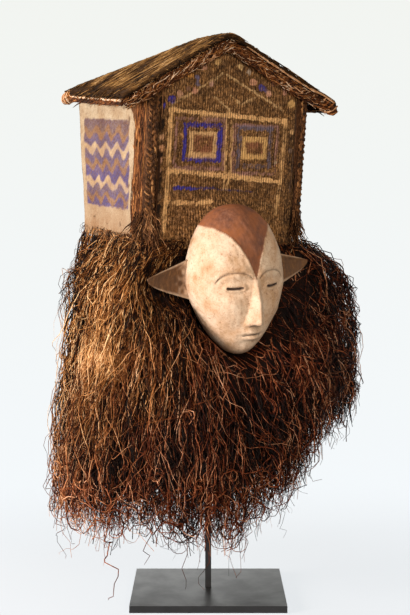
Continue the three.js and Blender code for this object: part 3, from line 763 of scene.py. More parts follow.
def make_plait(side, seed, material):
    draw = np.random.default_rng(seed)
    lines, radii, tones = [], [], []
    steps = 84
    z = np.linspace(PLAIT["foot"], PLAIT["top"], steps)
    across, out = np.array([-side, -1]) / math.sqrt(2), np.array([side, -1]) / math.sqrt(2)
    for strand in range(3):
        turn = 2 * np.pi * (z / PLAIT["pitch"] + strand / 3)
        for yarn in range(PLAIT["yarns"]):
            twist = 2 * np.pi * (z / PLAIT["twist"] + yarn / PLAIT["yarns"])
            side_way = PLAIT["wide"] * np.sin(turn) + PLAIT["strand"] * np.cos(twist)
            front_way = PLAIT["deep"] * np.sin(2 * turn) + PLAIT["strand"] * np.sin(twist) + 0.6
            plan = side_way[:, None] * across + front_way[:, None] * out
            plan += draw.normal(0, 0.12, plan.shape)
            x, y = side * PLAIT["x"] + plan[:, 0], PLAIT["y"] + plan[:, 1]
            lines.append(house(np.stack([x, y, z], -1)))
            radii.append(PLAIT["yarn"] * (1 + 0.1 * draw.normal(size=steps)).clip(0.75, 1.25))
            patches = 0.12 * ripple(z[:, None], 22, seed + yarn)
            tones.append(np.clip(0.4 + draw.normal(0, 0.14) + patches, 0, 1))
    return strands(f"corner_plait_{SIDES[side]}", lines, radii, tones, material, sides=5)


# Cord: dark brown with smoke, lighter in patches, each yarn a little apart in tone
raffia_cord = fibre("plaited raffia cord, darkened by smoke", [
    (0.0, "#160c06"), (0.35, "#3e2614"), (0.6, "#724b2c"), (0.85, "#ab7f52"), (1.0, "#cda878")], 3)
for side, seed in ((-1, 81), (1, 82)):
    carries(make_plait(side, seed, raffia_cord), raffia_cord, "plaited_cord", f"corner_braid_{SIDES[side]}")


# Corner packing
# Loose raffia pushed into the seams beside each plait. Its ends and those of the canes have
# frayed into a tuft that hangs over the roots at the corner's foot.
PACKING = {"upright": 150, "tuft": {-1: 200, 1: 170}, "foot": -118, "top": 64}


def make_packing(side, seed, material):
    """Upright fibres in the seams and the tuft; q below 0 is the side seam, above 0 the front one."""
    draw = np.random.default_rng(seed)
    lines, radii, tones = [], [], []
    steps = 9
    t = np.linspace(0, 1, steps)
    for _ in range(PACKING["upright"]):
        q = draw.uniform(-1, 1)
        x = 114.6 if q < 0 else 112 - 12 * q
        y = -38 - 10 * (q + 1) if q < 0 else -51.2
        z0 = draw.uniform(PACKING["foot"], PACKING["top"] - 25)
        z = np.minimum(z0 + draw.uniform(25, 75) * t, PACKING["top"])
        sway = np.cumsum(draw.normal(0, 0.28, (steps, 2)), axis=0)
        x = x + 0.8 * draw.uniform() + sway[:, 0] * (q > 0)
        y = y - 0.8 * draw.uniform() + sway[:, 1] * (q < 0)
        lines.append(house(np.stack([side * x, y, z], -1)))
        radii.append(np.interp(t, [0, 0.2, 0.8, 1], [0.4, 1.1, 1.0, 0.3]) * draw.uniform(0.6, 1.1))
        tones.append(np.full(steps, np.clip(draw.normal(0.3, 0.16), 0, 1)))
    for _ in range(PACKING["tuft"][side]):
        q = draw.uniform(-1, 1)
        x0 = 115.5 if q < 0 else 113 - 11 * q
        y0 = -44 - 16 * q if q < 0 else -53.5
        way = (draw.normal(0.12 if q < 0 else -0.05, 0.2), draw.normal(-0.1 - 0.2 * q, 0.22))
        run = draw.uniform(10, 30)
        out = 1.5 + 7.0 * draw.uniform() ** 2
        x = x0 + (way[0] * run * t ** 1.5 + (out * t ** 1.5 if q < 0 else 0))
        y = y0 + way[1] * run * t ** 1.5 - (0 if q < 0 else out * t ** 1.5)
        z = draw.uniform(-114, -84) - run * t + 0.08 * run * np.sin(np.pi * t)
        kinks = np.cumsum(draw.normal(0, 0.7, (steps, 3)), axis=0)
        lines.append(house(np.stack([side * x, y, z], -1) + kinks))
        radii.append(np.interp(t, [0, 0.6, 1], [0.8, 0.7, 0.3]) * draw.uniform(0.6, 1.2))
        tones.append(np.full(steps, np.clip(draw.normal(0.42, 0.24), 0, 1)))
    return strands(f"corner_packing_{SIDES[side]}", lines, radii, tones, material)


# Frayed raffia: every tone from near black to pale straw, fibre by fibre
frayed_ends = fibre("frayed raffia ends, sooty at the root", [
    (0.0, "#160b05"), (0.3, "#3c2312"), (0.55, "#71492c"), (0.8, "#ab7d56"), (1.0, "#d9b48c")], 4)
for side, seed in ((-1, 85), (1, 86)):
    carries(make_packing(side, seed, frayed_ends), frayed_ends, "frayed_fibre")


# Roof mat
# A stiff mat of raffia laid in bundles up the slopes and folded over a ridge and two hips. Age
# has turned the bundles olive, ochre and dark brown by turns; the edges are frayed.
MAT = {"cols": 120, "rows": 96, "step": 4, "bundle": 5.2, "stripe": 19, "fibres": 1500, "frayed": 600}


def roof_place(u, v):
    """Across and along the house at a share of the mat's width and depth."""
    left = ROOF["front_left"][0] + (ROOF["back_left"][0] - ROOF["front_left"][0]) * v
    right = ROOF["front_right"][0] + (ROOF["back_right"][0] - ROOF["front_right"][0]) * v
    return left + (right - left) * u, ROOF["front"] + (ROOF["back"] - ROOF["front"]) * v


def mat_tone(x, y):
    """How light the mat's bundles are at a place, from dark brown (0) to pale straw (1)."""
    drift = y + 0.06 * x + 2.5 * ripple(np.stack([x, y], -1), 90, 101)
    stripe = np.sin(2 * np.pi * drift / MAT["stripe"]) + 0.4 * ripple(drift[..., None], 11, 102)
    worn = 0.17 * ripple(np.stack([x, y], -1), 45, 103)
    return np.clip(0.5 + 0.08 * stripe + worn + 0.06 * ripple(drift[..., None], 4, 104), 0, 1)


def make_mat():
    """The mat's body: bundles side by side on top, a plain underside and a ragged edge."""
    u, v = unit_grid(MAT["cols"], MAT["rows"])
    x, y = roof_place(u, v)
    place = np.stack([x, y], -1)
    edge = np.minimum(np.minimum(u, 1 - u) * 300, np.minimum(v, 1 - v) * 238)
    ragged = 1.6 * ripple(place, 9, 104) * smooth(edge, 6, 0)
    x_out = x + ragged * np.sign(u - 0.5) * (u % 1 == 0)
    y_out = y + ragged * np.sign(v - 0.5) * (v % 1 == 0)
    bundle = np.abs(np.sin(np.pi * (y + 1.3 * ripple(place, 60, 105)) / MAT["bundle"]))
    height = 0.9 * bundle + 0.5 * ripple(place, 14, 106) - 1.0 - 1.2 * smooth(edge, 5, 0)
    top = np.stack([x_out, y_out, roof_top(x, y) + height], -1)
    under = np.stack([x, y, roof_under(x, y) + 0.5 + 1.2 * smooth(edge, 5, 0)], -1)
    piece = shell("roof_mat_body", house(top), house(under[::MAT["step"], ::MAT["step"]]))
    # The bundles' tone: painted shade in the grooves between them, and darker towards the mat's edges, most
    # of all along its left edge
    left_edge = smooth(x - ROOF["front_left"][0] - 29 * v, 17, 6)
    tone = mat_tone(x, y) * (0.75 + 0.25 * bundle) * (1 - 0.3 * smooth(edge, 7, 0)) * (1 - 0.5 * left_edge)
    give(piece, "tone", tone)
    return piece


def make_mat_fibres(material):
    """Loose fibres on top of the mat, up the slopes, and frayed ends round its edge."""
    draw = np.random.default_rng(107)
    lines, radii, tones = [], [], []
    steps = 5
    t = np.linspace(0, 1, steps)
    for _ in range(MAT["fibres"]):
        u0, v0, run = draw.uniform(0, 0.95), draw.uniform(0.0, 1), draw.uniform(0.03, 0.11)
        u = np.clip(u0 + run * t, 0.0, 1)
        v = np.clip(v0 + draw.normal(0, 0.008) * t + 0.003 * np.cumsum(draw.normal(size=steps)), 0.0, 1)
        x, y = roof_place(u, v)
        z = roof_top(x, y) - 0.2 + 0.5 * draw.uniform() + 0.3 * draw.normal(size=steps)
        lines.append(house(np.stack([x, y, z], -1)))
        radii.append(np.interp(t, [0, 0.2, 0.8, 1], [0.25, 0.75, 0.75, 0.25]))
        tone = (mat_tone(x, y) + draw.normal(0.03, 0.17)) * (1 - 0.5 * smooth(u, 0.055, 0.02))
        tones.append(np.clip(tone, 0, 1))
    for _ in range(MAT["frayed"]):
        side = draw.choice([0, 1, 2, 3], p=[0.4, 0.22, 0.2, 0.18])
        a = draw.uniform((0.05, 0.06, 0.14, 0.16)[side], (0.9, 0.78, 0.95, 0.95)[side])
        u, v = ((a, 0), (0, a), (1, a), (a, 1))[side]
        way = np.array([(0, -1), (-1, 0), (1, 0), (0, 1)][side], float)
        x, y = roof_place(u, v)
        reach = draw.gamma(2.0, 1.7)
        along = draw.normal(0, 0.75)
        back = 7 * (1 - t[:, None])
        plan = np.array([x, y]) + way * (t[:, None] * reach - back)
        plan += way[::-1] * (along * t[:, None] * reach * 1.4)
        plan += draw.normal(0, 0.35, plan.shape)
        drop = draw.uniform(0, 7)
        mat_top = roof_top(np.clip(plan[:, 0], -160, 152), np.clip(plan[:, 1], ROOF["front"], ROOF["back"]))
        z = mat_top - drop - 0.25 * reach * t ** 2
        lines.append(house(np.stack([plan[:, 0], plan[:, 1], z], -1)))
        radii.append(np.interp(t, [0, 0.6, 1], [0.7, 0.6, 0.25]))
        tones.append(np.full(steps, np.clip(draw.normal(0.3, 0.2), 0, 1)))
    return strands("roof_mat_fibres", lines, radii, tones, material)


# Aged raffia: dark brown and ochre to pale straw, coarse and almost without shine
MAT_TONES = [(0.0, "#1a0d04"), (0.3, "#3f2812"), (0.55, "#765430"), (0.8, "#ac8450"), (1.0, "#d0a878")]
mat_body = make_mat()
mat_raffia = fibre("aged raffia bundles", MAT_TONES, 2.6, 0.9, 0.8)
carries(mat_body, mat_raffia, "roof_raffia", "roof_mat")
loose_raffia = fibre("loose raffia fibre", MAT_TONES, 4, 0.8)
carries(make_mat_fibres(loose_raffia), loose_raffia, "roof_raffia")


# Front roll
# Bark fibres twisted into a thick roll and stitched under the front edge of the mat. It is dark
# red-brown with pale and pinkish ends, and a strip of split straw runs under the right slope.
ROLL = {"y": -59, "inset": 10, "drop": 8.1, "radius": 7.2, "fibres": 1400}


def roll_centre(x):
    """The roll's centre line in house millimetres: under the mat's front edge."""
    y = np.full_like(x, ROLL["y"])
    return np.stack([x, y, roof_under(x, y) - ROLL["drop"] + 3.5 * smooth(x, 95, 130)], -1)


def wound(centres, turn, radius):
    """Points at an angle and distance from a centre line that runs level or up a slope."""
    ahead = np.gradient(centres, axis=0)
    ahead /= np.linalg.norm(ahead, axis=1, keepdims=True)
    across = np.cross(ahead, [0, 0, 1])
    across /= np.linalg.norm(across, axis=1, keepdims=True)
    over = np.cross(across, ahead)
    swing = across * np.cos(turn)[:, None] + over * np.sin(turn)[:, None]
    return centres + swing * np.asarray(radius).reshape(-1, 1)


def twisted_fibres(draw, centre, total, count, radius, steps, tone, length=(35, 95), turns=0.9, kink=0.22):
    """Short fibres wound round a centre line; centre(s) gives its points at distances s."""
    lines, radii, tones = [], [], []
    for _ in range(count):
        span = draw.uniform(*length)
        s0 = draw.uniform(-4, total - span + 4)
        s = np.clip(np.linspace(s0, s0 + span, steps), 0, total)
        turn = draw.uniform(0, 2 * np.pi) + np.linspace(0, turns * draw.normal(0.6, 0.7) * np.pi, steps)
        away = radius * draw.uniform(0.72, 1.0) + 0.3 * draw.normal(size=steps)
        loose = draw.exponential(1.2)
        away = away + loose * np.linspace(0, 1, steps) ** 4
        lines.append(house(wound(centre(s), turn, away) + draw.normal(0, kink, (steps, 3))))
        tapered = np.interp(np.linspace(0, 1, steps), [0, 0.2, 0.8, 1], [0.3, 0.8, 0.8, 0.3])
        radii.append(tapered * draw.uniform(0.7, 1.2))
        tones.append(np.full(steps, np.clip(tone(draw), 0, 1)) + 0.08 * draw.normal(size=steps))
    return lines, radii, tones


def roll_tone(draw):
    """A quarter of the fibres are pale, the rest dark."""
    return draw.uniform(0.62, 1.0) if draw.uniform() < 0.24 else draw.normal(0.28, 0.17)


# Bark fibre: dark red-brown, with pale and pinkish fibres among the dark ones
bark = fibre("twisted bark fibre", [
    (0.0, "#1f0e06"), (0.25, "#4a2712"), (0.45, "#7a4825"), (0.65, "#a8713f"), (0.85, "#cfa27e"),
    (1.0, "#e8d0b8")], 4)
roll_from, roll_to = ROOF["front_left"][0] + ROLL["inset"] - 4, ROOF["front_right"][0] - ROLL["inset"] + 4
roll_path = np.linspace(roll_from, roll_to, 90)
roll_ends = [house(roll_centre(roll_path))]
core_radius = np.interp(np.linspace(0, 1, 90), [0, 0.02, 0.98, 1], [2.5, 4.9, 4.9, 2.5])
roll_core = strands("roof_front_roll_core", roll_ends, [core_radius], [np.full(90, 0.12)], bark, sides=12)
carries(roll_core, bark, "frayed_fibre", "roof_front_roll")
draw = np.random.default_rng(111)
roll_fibres = twisted_fibres(draw, lambda s: roll_centre(roll_from + s), roll_to - roll_from, ROLL["fibres"],
                             ROLL["radius"], 5, roll_tone, length=(10, 34), turns=0.8, kink=0.7)
for straw in range(14):
    s = np.linspace(draw.uniform(158, 190), draw.uniform(270, roll_to - roll_from), 16)
    angle = draw.normal(0.95, 0.14) + 0.1 * ripple(s[:, None], 30, 112 + straw)
    roll_fibres[0].append(house(wound(roll_centre(roll_from + s), angle, ROLL["radius"] + 3.4)))
    roll_fibres[1].append(np.full(16, 0.9) + 0.2 * ripple(s[:, None], 15, 113 + straw))
    roll_fibres[2].append(0.8 + 0.08 * ripple(s[:, None], 12, 114 + straw))
carries(strands("roof_front_roll_fibres", *roll_fibres, bark), bark, "frayed_fibre")


# Eave binding
# The mat's side and back edges are bound over a thin roll of the same fibre with a pale cord,
# which shows as a cream line under the left eave.
EAVE = {"radius": 4.6, "inset": 5, "start": -50, "drop": 6.2, "round": 12, "fibres": 400}


def eave_path():
    """The roll's centre line in house millimetres, from the left front round the back."""
    end = ROOF["back"] - EAVE["inset"]
    y_side = np.linspace(EAVE["start"], end - EAVE["round"], 40)
    x_back = np.linspace(-112, 112, 40)
    turned = (y_side - ROOF["front"]) / (ROOF["back"] - ROOF["front"])
    left = np.stack([roof_place(0, turned)[0] + EAVE["inset"], y_side], -1)
    right = np.stack([roof_place(1, turned)[0] - EAVE["inset"], y_side], -1)[::-1]
    plan = np.concatenate([left, np.stack([x_back, np.full_like(x_back, end)], -1), right])
    for _ in range(4):
        plan[1:-1] = (plan[:-2] + 2 * plan[1:-1] + plan[2:]) / 4
    z = roof_under(plan[:, 0], plan[:, 1]) - EAVE["drop"]
    return np.column_stack([plan, z])


EAVE_PATH = eave_path()
EAVE_RUN = np.concatenate([[0], np.cumsum(np.linalg.norm(np.diff(EAVE_PATH, axis=0), axis=1))])


def eave_centre(s):
    """Points of the thin roll's centre line at distances s along it."""
    return np.stack([np.interp(s, EAVE_RUN, EAVE_PATH[:, k]) for k in range(3)], -1)


def make_eave(material):
    """The thin roll's core and fibres, its two cords, and the knobs at two of the roof's tips."""
    draw = np.random.default_rng(121)
    total = EAVE_RUN[-1]
    lines, radii, tones = twisted_fibres(draw, eave_centre, total, EAVE["fibres"], EAVE["radius"], 6,
                                         lambda d: d.normal(0.3, 0.16))
    s = np.linspace(0, total, 260)
    for offset, size, tone in ((0.0, 4.0, 0.12), (0.7, 2.1, 0.88), (1.4, 1.7, 0.62)):
        turn = np.full_like(s, math.pi - offset if offset else 0)
        away = np.full_like(s, EAVE["radius"] * 0.8 if offset else 0) + 0.25 * ripple(s[:, None], 14, 122)
        lines.append(house(wound(eave_centre(s), turn, away)))
        radii.append(np.full_like(s, size) + 0.2 * ripple(s[:, None], 9, 123))
        tones.append(tone + (0.22 if offset else 0.1) * ripple(s[:, None], 17, 124))
    # Two knobs of fibre bound with cord, at the roof's right front tip and its left rear tip
    t = np.linspace(0, 1, 48)
    x, y = ROOF["front_right"][0] - 22 + 26 * t, np.full_like(t, ROOF["front"] + 6.0)
    right_tip = np.stack([x, y, roof_under(x, y) - 1.5 - 3 * t ** 2], -1)
    start = np.array([ROOF["back_left"][0] + 4, ROOF["back"] - 28, 0])
    left_tip = start + np.stack([-1.5 * t, 28 * t, roof_under(start[0], start[1]) - 3 - 10 * t ** 2], -1)
    for knob, thick in ((right_tip, 8.4), (left_tip, 7.6)):
        size = thick * np.sqrt(np.clip(1 - (1.12 * t - 0.16) ** 6, 0.02, 1))
        lines.append(house(knob))
        radii.append(size)
        tones.append((0.3 if thick > 8 else 0.8) + 0.12 * ripple(knob, 7, 125))
        for start in (0.0, 2.1, 4.2):
            lines.append(house(wound(knob, start + 9 * t, size + 0.2)))
            radii.append(np.full_like(t, 1.1) * np.clip(6 - 6 * t, 0.3, 1))
            tone = (0.8 if start == 0 else 0.5) + (0.16 if thick < 8 else 0)
            tones.append(tone + 0.1 * ripple(knob, 9, 126))
    return strands("eave_binding_fibres", lines, radii, tones, material, sides=4)


carries(make_eave(bark), bark, "frayed_fibre", "eave_binding")


# Carved face
# One block of light wood, hollowed behind. The face is whitened with kaolin; a crest of red-brown
# wood runs down from the crown to the root of the nose. The ears are flat, pointed and dished.
HEAD = {"tall": 96, "half": 66, "front": 56, "behind": 52, "taper": 0.32, "axis": -3, "axis_lean": 4,
        "rim": 31, "wall": 9, "roll": math.radians(-4)}
NOSE = {"root": 3, "base": -48, "height": 17, "root_height": 3, "half": 13, "root_half": 5}
EYE = {"x": 27, "z": -2, "half": 15, "tall": 7, "slit": 9.5}
MOUTH = {"z": -64, "half": 17, "lip": 4.5}
CREST = {"foot": 8, "rise": 65, "half": 60, "bend": 2.8}
EAR = {"root": 53, "tip": 119, "half": 25, "z": 4, "y": 6, "thick": 5, "dish": 7, "rise": {-1: 4, 1: 9}}


def face_to_frame(points):
    """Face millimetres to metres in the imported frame; the face is rolled a little in the house."""
    x, y, z = np.moveaxis(np.asarray(points, float), -1, 0)
    c, s = math.cos(HEAD["roll"]), math.sin(HEAD["roll"])
    turned = np.stack([x * c + z * s, y, -x * s + z * c], -1)
    return house(turned + np.array(FACE_CENTRE))


def bump(value, half):
    """A round hump: 1 in the middle, 0 beyond its half width."""
    t = np.clip(np.abs(value) / half, 0, 1)
    return (1 - t * t) ** 2


def crest_foot(x):
    """The height of the crest's lower edge, which comes down to a point over the nose."""
    t = np.clip(np.abs(x) / CREST["half"], 0, 1)
    return CREST["foot"] + CREST["rise"] * (1 - (1 - t) ** CREST["bend"])


def groove(away, half):
    """1 in the middle of an incised line, 0 beyond its half width."""
    return 1 - smooth(np.abs(away), half * 0.3, half)


def brow_line(x, z):
    """Distance above or below the arched brow, large beyond its ends."""
    side = np.abs(x)
    arch = 17 - 0.012 * (side - 25) ** 2 - 0.00002 * (side - 25) ** 4
    return np.where((side > 5) & (side < 49), z - arch, 99)


def carving(x, z):
    """How far the carved front stands forward of the plain egg, in millimetres."""
    side = np.abs(x)
    run = np.clip((NOSE["root"] - z) / (NOSE["root"] - NOSE["base"]), 0, 1)
    past = np.clip((NOSE["base"] - z) / 4.5, 0, 1)
    before = smooth(z, NOSE["root"] + 7, NOSE["root"] - 2)
    half = NOSE["root_half"] + (NOSE["half"] - NOSE["root_half"]) * run ** 1.3
    ridge = NOSE["root_height"] + (NOSE["height"] - NOSE["root_height"]) * run
    wedge = np.clip(1 - np.sqrt((side / half) ** 2 + 0.01) + 0.1, 0, 1)
    nose = ridge * before * (1 - past ** 1.5) * wedge ** 0.85
    wing = 3.2 * bump(side - 9.5, 5) * bump(z - NOSE["base"] - 5, 6.5)
    hollow = 5 * bump(side - EYE["x"], 25) * bump(z - EYE["z"], 15)
    oval = np.clip(1 - ((side - EYE["x"]) / EYE["half"]) ** 2 - ((z - EYE["z"]) / EYE["tall"]) ** 2, 0, 1)
    lid = 4.2 * oval ** 0.55
    slit_z = EYE["z"] - 1 + 0.006 * (side - EYE["x"]) ** 2
    slit_ends = smooth(np.abs(side - EYE["x"]), EYE["slit"] + 1.5, EYE["slit"] - 1)
    slit = 5.0 * groove(z - slit_z, 1.7) * slit_ends
    brow = 1.5 * groove(brow_line(x, z), 2.0)
    over_brow = 1.1 * bump(brow_line(x, z) - 5, 6)
    cheek = 2.4 * bump(side - 35, 24) * bump(z + 30, 24)
    upper = bump(x, MOUTH["half"]) * bump(z - MOUTH["z"] - MOUTH["lip"] * 0.9, MOUTH["lip"]) * 5
    lower = bump(x, MOUTH["half"] * 0.85) * bump(z - MOUTH["z"] + MOUTH["lip"], MOUTH["lip"]) * 5
    part_ends = smooth(side, MOUTH["half"], MOUTH["half"] - 4)
    part = 2.2 * groove(z - MOUTH["z"] + 0.3 + 0.003 * x * x, 1.4) * part_ends
    around = 1.6 * bump(x, 27) * bump(z - MOUTH["z"], 17)
    chin = 2.2 * bump(x, 17) * bump(z + 84, 13)
    above = z - crest_foot(x)
    crest = -1.2 * smooth(above, -0.5, 0.8) + 0.7 * bump(above + 2, 3)
    face = nose + wing - hollow + lid - slit - brow + over_brow + cheek + upper + lower - part + around + chin
    return face + crest


def head_surface(turn, reach, shrink, carved):
    """Points of the egg at a turn round the line of sight and a share of the way to the rim."""
    def place(angle):
        s = np.sin(angle) * np.sin(turn)
        c = np.sqrt(np.clip(1 - s * s, 1e-9, 1))
        forward = np.cos(angle) / c
        sideways = np.sin(angle) * np.cos(turn) / c
        depth = np.where(forward > 0, HEAD["front"], HEAD["behind"]) - shrink
        narrow = np.where(s > 0, c ** 0.92, c * (1 - HEAD["taper"] * np.clip(-s, 0, 1) ** 1.2))
        x = (HEAD["half"] - shrink) * narrow * sideways
        y = HEAD["axis"] + HEAD["axis_lean"] * s - depth * c ** 0.9 * forward
        return x, y, (HEAD["tall"] - shrink) * s, forward

    # The angle at which the egg reaches the plane of its rim
    low, high = np.full_like(turn, math.pi / 2), np.full_like(turn, math.pi)
    for _ in range(30):
        middle = (low + high) / 2
        behind = place(middle)[1] > HEAD["rim"]
        low, high = np.where(behind, low, middle), np.where(behind, middle, high)
    x, y, z, forward = place(low * reach)
    if carved:
        y = y - carving(x, z) * smooth(forward, 0, 0.35)
        y = y - 0.22 * ripple(np.stack([x, z], -1), 9, 131) - 0.5 * ripple(np.stack([x, z], -1), 34, 132)
    return np.stack([x, y, z], -1)


def disc_grid(count):
    """A square grid mapped on a disc: the turn round its middle, and the distance from it."""
    a, b = np.meshgrid(np.linspace(-1, 1, count + 1), np.linspace(-1, 1, count + 1))
    u, v = a * np.sqrt(1 - b * b / 2), b * np.sqrt(1 - a * a / 2)
    distance = np.hypot(u, v)
    return np.arctan2(v, u), distance * (0.66 + 0.34 * distance ** 2)


def make_head():
    count, step = 152, 4
    outer = head_surface(*disc_grid(count), 0, True)
    inner = head_surface(*disc_grid(count // step), HEAD["wall"], False)
    piece = shell("carved_face_head", face_to_frame(outer), face_to_frame(inner))
    x, y, z = np.moveaxis(outer, -1, 0)
    front = smooth(y, HEAD["rim"] - 6, HEAD["rim"] - 12)
    below = 1 - smooth(z - crest_foot(x) + 0.5 * ripple(np.stack([x, z], -1), 12, 133), -0.9, 0.9)
    side = np.abs(x)
    # Painted shade in the carved eye slits, brow line and mouth's parting, and on the nostrils
    slit_z = EYE["z"] - 1 + 0.006 * (side - EYE["x"]) ** 2
    cut = groove(z - slit_z, 2.0) * smooth(np.abs(side - EYE["x"]), EYE["slit"] + 2, EYE["slit"])
    cut = np.maximum(cut, 0.5 * groove(brow_line(x, z), 2.4))
    cut = np.maximum(cut, 0.8 * groove(z - MOUTH["z"] + 0.3 + 0.003 * x * x, 1.6) * smooth(side, 15, 11))
    nostril = bump(side - 6, 4) * bump(z - NOSE["base"] + 2.5, 3.5)
    give(piece, "kaolin", below * front)
    give(piece, "cut", np.clip(np.maximum(cut, nostril), 0, 1) * front)
    give(piece, "wood", front)
    return piece


def make_ear(side):
    """An ear from its root to its tip; the left one is mirrored and its columns turned round."""
    cols, rows, step = 54, 36, 3
    u, across = unit_grid(cols, rows, low=-1)
    root = (1 - u) ** 3
    half = EAR["half"] * (1 - u) ** np.where(across < 0, 0.52, 0.86) + 1 + 2.5 * root
    hollow = EAR["dish"] * (1 - across ** 2) * (1 - u) * smooth(u, 0, 0.2)
    rim = 0.9 * smooth(np.abs(across), 0.72, 0.9) * (1 - u)
    x = EAR["root"] + (EAR["tip"] - EAR["root"]) * u
    z = EAR["z"] + EAR["rise"][side] * u + across * half
    place = np.stack([x, z], -1)
    y_front = EAR["y"] + hollow - rim - 3 * root + 0.25 * ripple(place, 8, 141)
    taper = 1 - smooth(np.abs(across), 0.75, 1.0) * 0.75
    y_back = EAR["y"] + hollow + EAR["thick"] * (1 - 0.4 * u) * taper + 3 * root
    y_front = y_front + (1 - taper) * 1.2
    front, back = (np.stack([side * x, y, z], -1)[:, ::side] for y in (y_front, y_back))
    piece = shell("carved_face_ear", face_to_frame(front), face_to_frame(back[::step, ::step]))
    pale = 0.5 * smooth(np.abs(across), 0.8, 0.94) * smooth(u, 1.0, 0.7)
    pale = np.maximum(pale, 0.9 * smooth(u + 0.07 * ripple(place, 12, 142), 0.36, 0.05))
    give(piece, "kaolin", pale[:, ::side])
    give(piece, "wood", np.full_like(pale, 0.2))
    # Painted shade in the ear's dish, darker where it is deeper
    give(piece, "cut", (0.34 * hollow / EAR["dish"])[:, ::side])
    return piece


def join(pieces):
    """One piece made of several, each still closed."""
    with bpy.context.temp_override(active_object=pieces[0], selected_editable_objects=pieces):
        bpy.ops.object.join()
    return pieces[0]


def painted_wood():
    """Light wood: a chalky kaolin coat, rubbed and stained, beside bare wood rubbed with camwood."""
    material, tree, place = new_material("carved wood with kaolin and camwood")
    kaolin, cut, wood = (add(tree, "ShaderNodeAttribute", attribute_name=name).outputs["Fac"]
                         for name in ("kaolin", "cut", "wood"))
    lengthways = add(tree, "ShaderNodeMapping", {"Vector": place, "Scale": (1, 1, 0.28)})
    grain, patches, stains, chips, rubs = (add(tree, "ShaderNodeTexNoise", {
        "Vector": where, "Scale": 1000 / size_mm, "Detail": detail, "Roughness": rough, "Distortion": warp})
        for where, size_mm, detail, rough, warp in (
            (lengthways, 3.5, 5, 0.65, 0), (place, 26, 5, 0.6, 0), (place, 15, 6, 0.7, 0.6),
            (place, 2.2, 4, 0.6, 0), (place, 6, 6, 0.72, 0)))
    camwood = add(tree, "ShaderNodeValToRGB", {"Fac": grain}, stops=[
        (0.25, "#4a2f20"), (0.5, "#70483a"), (0.75, "#976a54")])
    worn = add(tree, "ShaderNodeMapRange", {"Value": patches, "From Min": 0.35, "From Max": 0.65})
    camwood = add(tree, "ShaderNodeMix", {FACTOR: worn, FIRST: camwood, SECOND: "#965a35"}, **MIX)
    bare = add(tree, "ShaderNodeValToRGB", {"Fac": grain}, stops=[
        (0.25, "#281c11"), (0.55, "#574028"), (0.8, "#866641")])
    under = add(tree, "ShaderNodeMix", {FACTOR: wood, FIRST: bare, SECOND: camwood}, **MIX)
    chalk = add(tree, "ShaderNodeValToRGB", {"Fac": patches}, stops=[
        (0.3, "#b48f6c"), (0.43, "#cfb096"), (0.6, "#dcc6b2")])
    stained = add(tree, "ShaderNodeMapRange", {
        "Value": stains, "From Min": 0.5, "From Max": 0.66, "To Max": 0.46})
    chalk = add(tree, "ShaderNodeMix", {FACTOR: stained, FIRST: chalk, SECOND: "#b28560"}, **MIX)
    pits = add(tree, "ShaderNodeValToRGB", {"Fac": chips}, stops=[(0.25, "#b89a7c"), (0.5, "#ffffff")])
    chalk = add(tree, "ShaderNodeMix", {FACTOR: 0.55, FIRST: chalk, SECOND: pits}, **MULTIPLY)
    unrubbed = add(tree, "ShaderNodeMapRange", {
        "Value": rubs, "From Min": 0.32, "From Max": 0.42, "To Min": 0.3})
    cover = add(tree, "ShaderNodeMath", {0: kaolin, 1: unrubbed}, operation="MULTIPLY")
    colour = add(tree, "ShaderNodeMix", {FACTOR: cover, FIRST: under, SECOND: chalk}, **MIX)
    # Painted shade in the carved grooves, on the nostrils and in the ears' dishes
    shade_in_recesses = add(tree, "ShaderNodeMapRange", {"Value": cut, "From Min": 0.15, "From Max": 0.8})
    colour = add(tree, "ShaderNodeMix", {FACTOR: shade_in_recesses, FIRST: colour, SECOND: "#2c1a10"}, **MIX)
    rough = add(tree, "ShaderNodeMapRange", {
        "Value": grain, "From Min": 0.3, "From Max": 0.7, "To Min": 0.62, "To Max": 0.85})
    surface(tree, colour, rough, grain, 0.35, 0.35)
    return material


carved_face = join([make_head(), make_ear(-1), make_ear(1)])
carved_face.name = "carved_face_surface"
carries(carved_face, painted_wood(), "carved_wood", "carved_face")


# Root fringe
# A thick skirt of thin, wiry roots tied round the lower rim in several layers, so that they hang
# plumb over one another. A mat of crushed roots lies under them. It is short on the right.
FRINGE = {"top": 470, "middle": (6, 20), "hem": 119, "lowest": 17, "short_rise": 130, "long_rise": 14,
          "bend": 3, "short_side": math.radians(-30), "toward_camera": math.radians(-118),
          "shoulder": math.radians(-168)}
LOCKS = {"count": 360, "roots": 3180, "width": 0.033, "step": 18}
PIECE_TRIANGLES = 180000            # a piece of the fringe is closed at this count
# Half sizes of the skirt in millimetres, from the collar (0) to the hem (1)
STATIONS = {"at": (0.0, 0.06, 0.12, 0.18, 0.3, 0.5, 0.8, 1.0),
            "left": (124, 131, 144, 161, 174, 190, 210, 211),
            "right": (130, 154, 179, 197, 215, 228, 226, 216),
            "front": (66, 72, 81, 88, 98, 124, 158, 160),
            "back": (142, 143, 150, 160, 170, 185, 197, 195),
            "square": (10, 8, 6, 4.2, 3, 2.3, 2, 2)}
# Where painted light brightens the skirt, in frame millimetres: a painted highlight on the left shoulder and
# painted light under the chin
SUNLIT = (-165, -10, 322)
UNDER_CHIN = (5, -100, 318)


